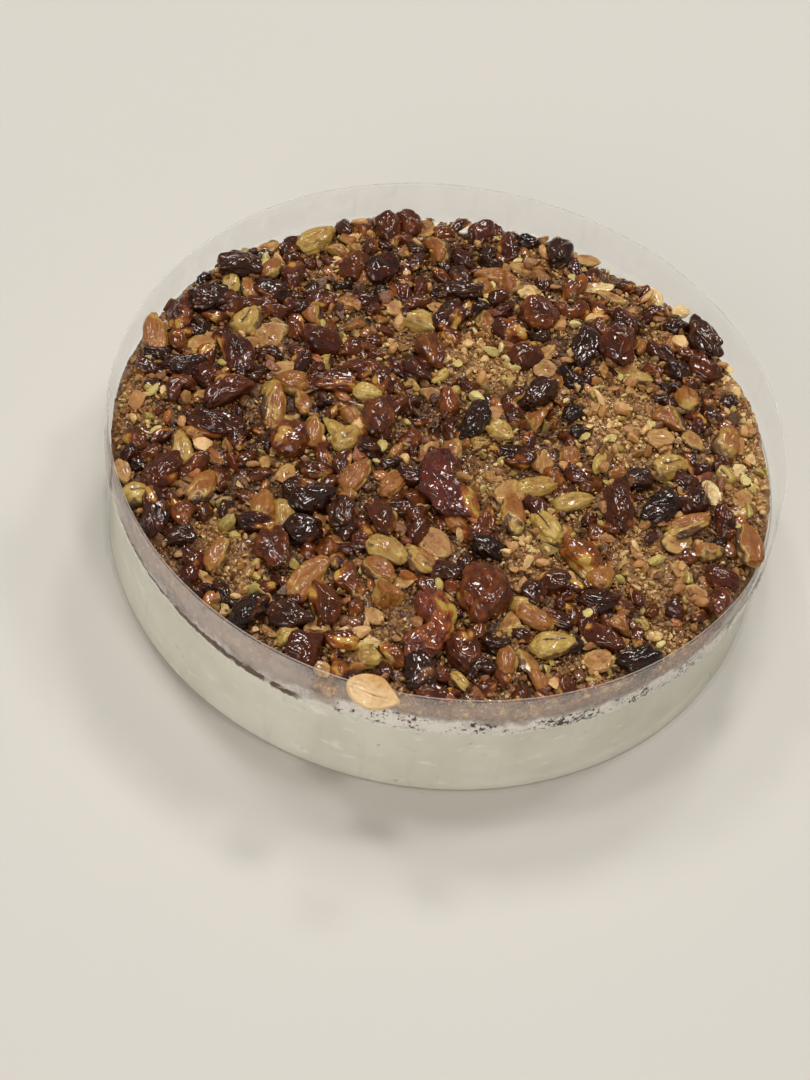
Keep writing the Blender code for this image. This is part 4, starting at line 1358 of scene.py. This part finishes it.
class CAKE_OT_stage(bpy.types.Operator):
    """Set the floor, the soft lamps, the even room light and the camera"""

    bl_idname = "cake.make_stage"
    bl_label = "Stage"

    def execute(self, context):
        settings = context.scene.stage_settings
        deselect()
        bpy.ops.mesh.primitive_plane_add(size=FLOOR_SIZE, location=(0, 0, 0))
        floor = named("floor")
        finish = Finish("pale_floor", {"Roughness": 0.55})
        tone = finish.noise(finish.place(), 0.4, detail=2)
        floor.data.materials.append(finish.connect(Base_Color=finish.mix(tone * 0.3, settings.floor,
                                                                         (214, 209, 200))))
        for number, spot in enumerate(LAMP_SPOTS, 1):
            self.light(f"lamp_{number}", spot, settings.lamp_size, settings.lamp_power)
        self.light("front_fill", FILL_SPOT, FILL_SIZE, settings.fill_power)
        self.room(context.scene, settings)
        context.scene.view_settings.view_transform = "Standard"
        self.camera(context.scene, settings)
        return {"FINISHED"}

    def room(self, scene, settings):
        """Soft light from pale walls, weaker behind the cake, that fades towards a darker ceiling."""
        scene.world = bpy.data.worlds.new("soft_room")
        scene.world.use_nodes = True
        tree = Tree(scene.world.node_tree)
        axes = tree.node("ShaderNodeSeparateXYZ", {}, {0: tree.place("Generated")}).outputs
        walls = tree.node("ShaderNodeMapRange", {}, {
            "Value": axes["Y"], "From Min": -1.0,
            "To Min": settings.wall_light, "To Max": settings.back_light,
        })
        fade = tree.node("ShaderNodeMapRange", {}, {
            "Value": axes["Z"], "To Min": walls.outputs["Result"], "To Max": settings.ceiling_light,
        })
        background = tree.tree.nodes["Background"]
        tree.feed(background.inputs["Color"], ROOM_COLOUR)
        tree.feed(background.inputs["Strength"], fade.outputs["Result"])

    def light(self, name, spot, size, power):
        """A soft square lamp that faces the cake."""
        deselect()
        bpy.ops.object.light_add(type="AREA", location=spot)
        lamp = named(name)
        lamp.data.size = size
        lamp.data.energy = power
        lamp.rotation_euler = (Vector(LAMP_AIM) - Vector(spot)).to_track_quat("-Z", "Y").to_euler()

    def camera(self, scene, settings):
        """A camera at the viewing place, rolled a little, with its lens set."""
        eye, aim = Vector(settings.eye), Vector(settings.aim)
        forward = (aim - eye).normalized()
        level_right = forward.cross(Vector((0, 0, 1))).normalized()
        level_up = level_right.cross(forward)
        up = math.cos(settings.roll) * level_up - math.sin(settings.roll) * level_right
        right = forward.cross(up)
        deselect()
        bpy.ops.object.camera_add(location=eye)
        camera = named("camera")
        camera.data.lens = settings.lens
        camera.data.sensor_width = 36
        camera.rotation_euler = Matrix((right, up, -forward)).transposed().to_euler()
        scene.camera = camera


STEPS = (CAKE_OT_cream, CAKE_OT_film, CAKE_OT_bed, CAKE_OT_crumbs, CAKE_OT_crumb_line, CAKE_OT_kernels,
         CAKE_OT_chunks, CAKE_OT_caramel, CAKE_OT_pale_bits, CAKE_OT_rim_half, CAKE_OT_stage)


class CAKE_PT_panel(bpy.types.Panel):
    """Lists the cake's steps in the sidebar"""

    bl_idname = "CAKE_PT_panel"
    bl_label = "Mastic pistachio cake"
    bl_space_type = "VIEW_3D"
    bl_region_type = "UI"
    bl_category = "Cake"

    def draw(self, context):
        for step in STEPS:
            self.layout.operator(step.bl_idname)


CLASSES = (CakeSizes, CakeColours, StageSettings, *STEPS, CAKE_PT_panel)


def register():
    for item in CLASSES:
        bpy.utils.register_class(item)
    bpy.types.Scene.cake_sizes = PointerProperty(type=CakeSizes)
    bpy.types.Scene.cake_colours = PointerProperty(type=CakeColours)
    bpy.types.Scene.stage_settings = PointerProperty(type=StageSettings)


def unregister():
    del bpy.types.Scene.stage_settings
    del bpy.types.Scene.cake_colours
    del bpy.types.Scene.cake_sizes
    for item in reversed(CLASSES):
        bpy.utils.unregister_class(item)


def main():
    register()
    for step in STEPS:
        group, name = step.bl_idname.split(".")
        getattr(getattr(bpy.ops, group), name)()


if __name__ == "__main__":
    main()
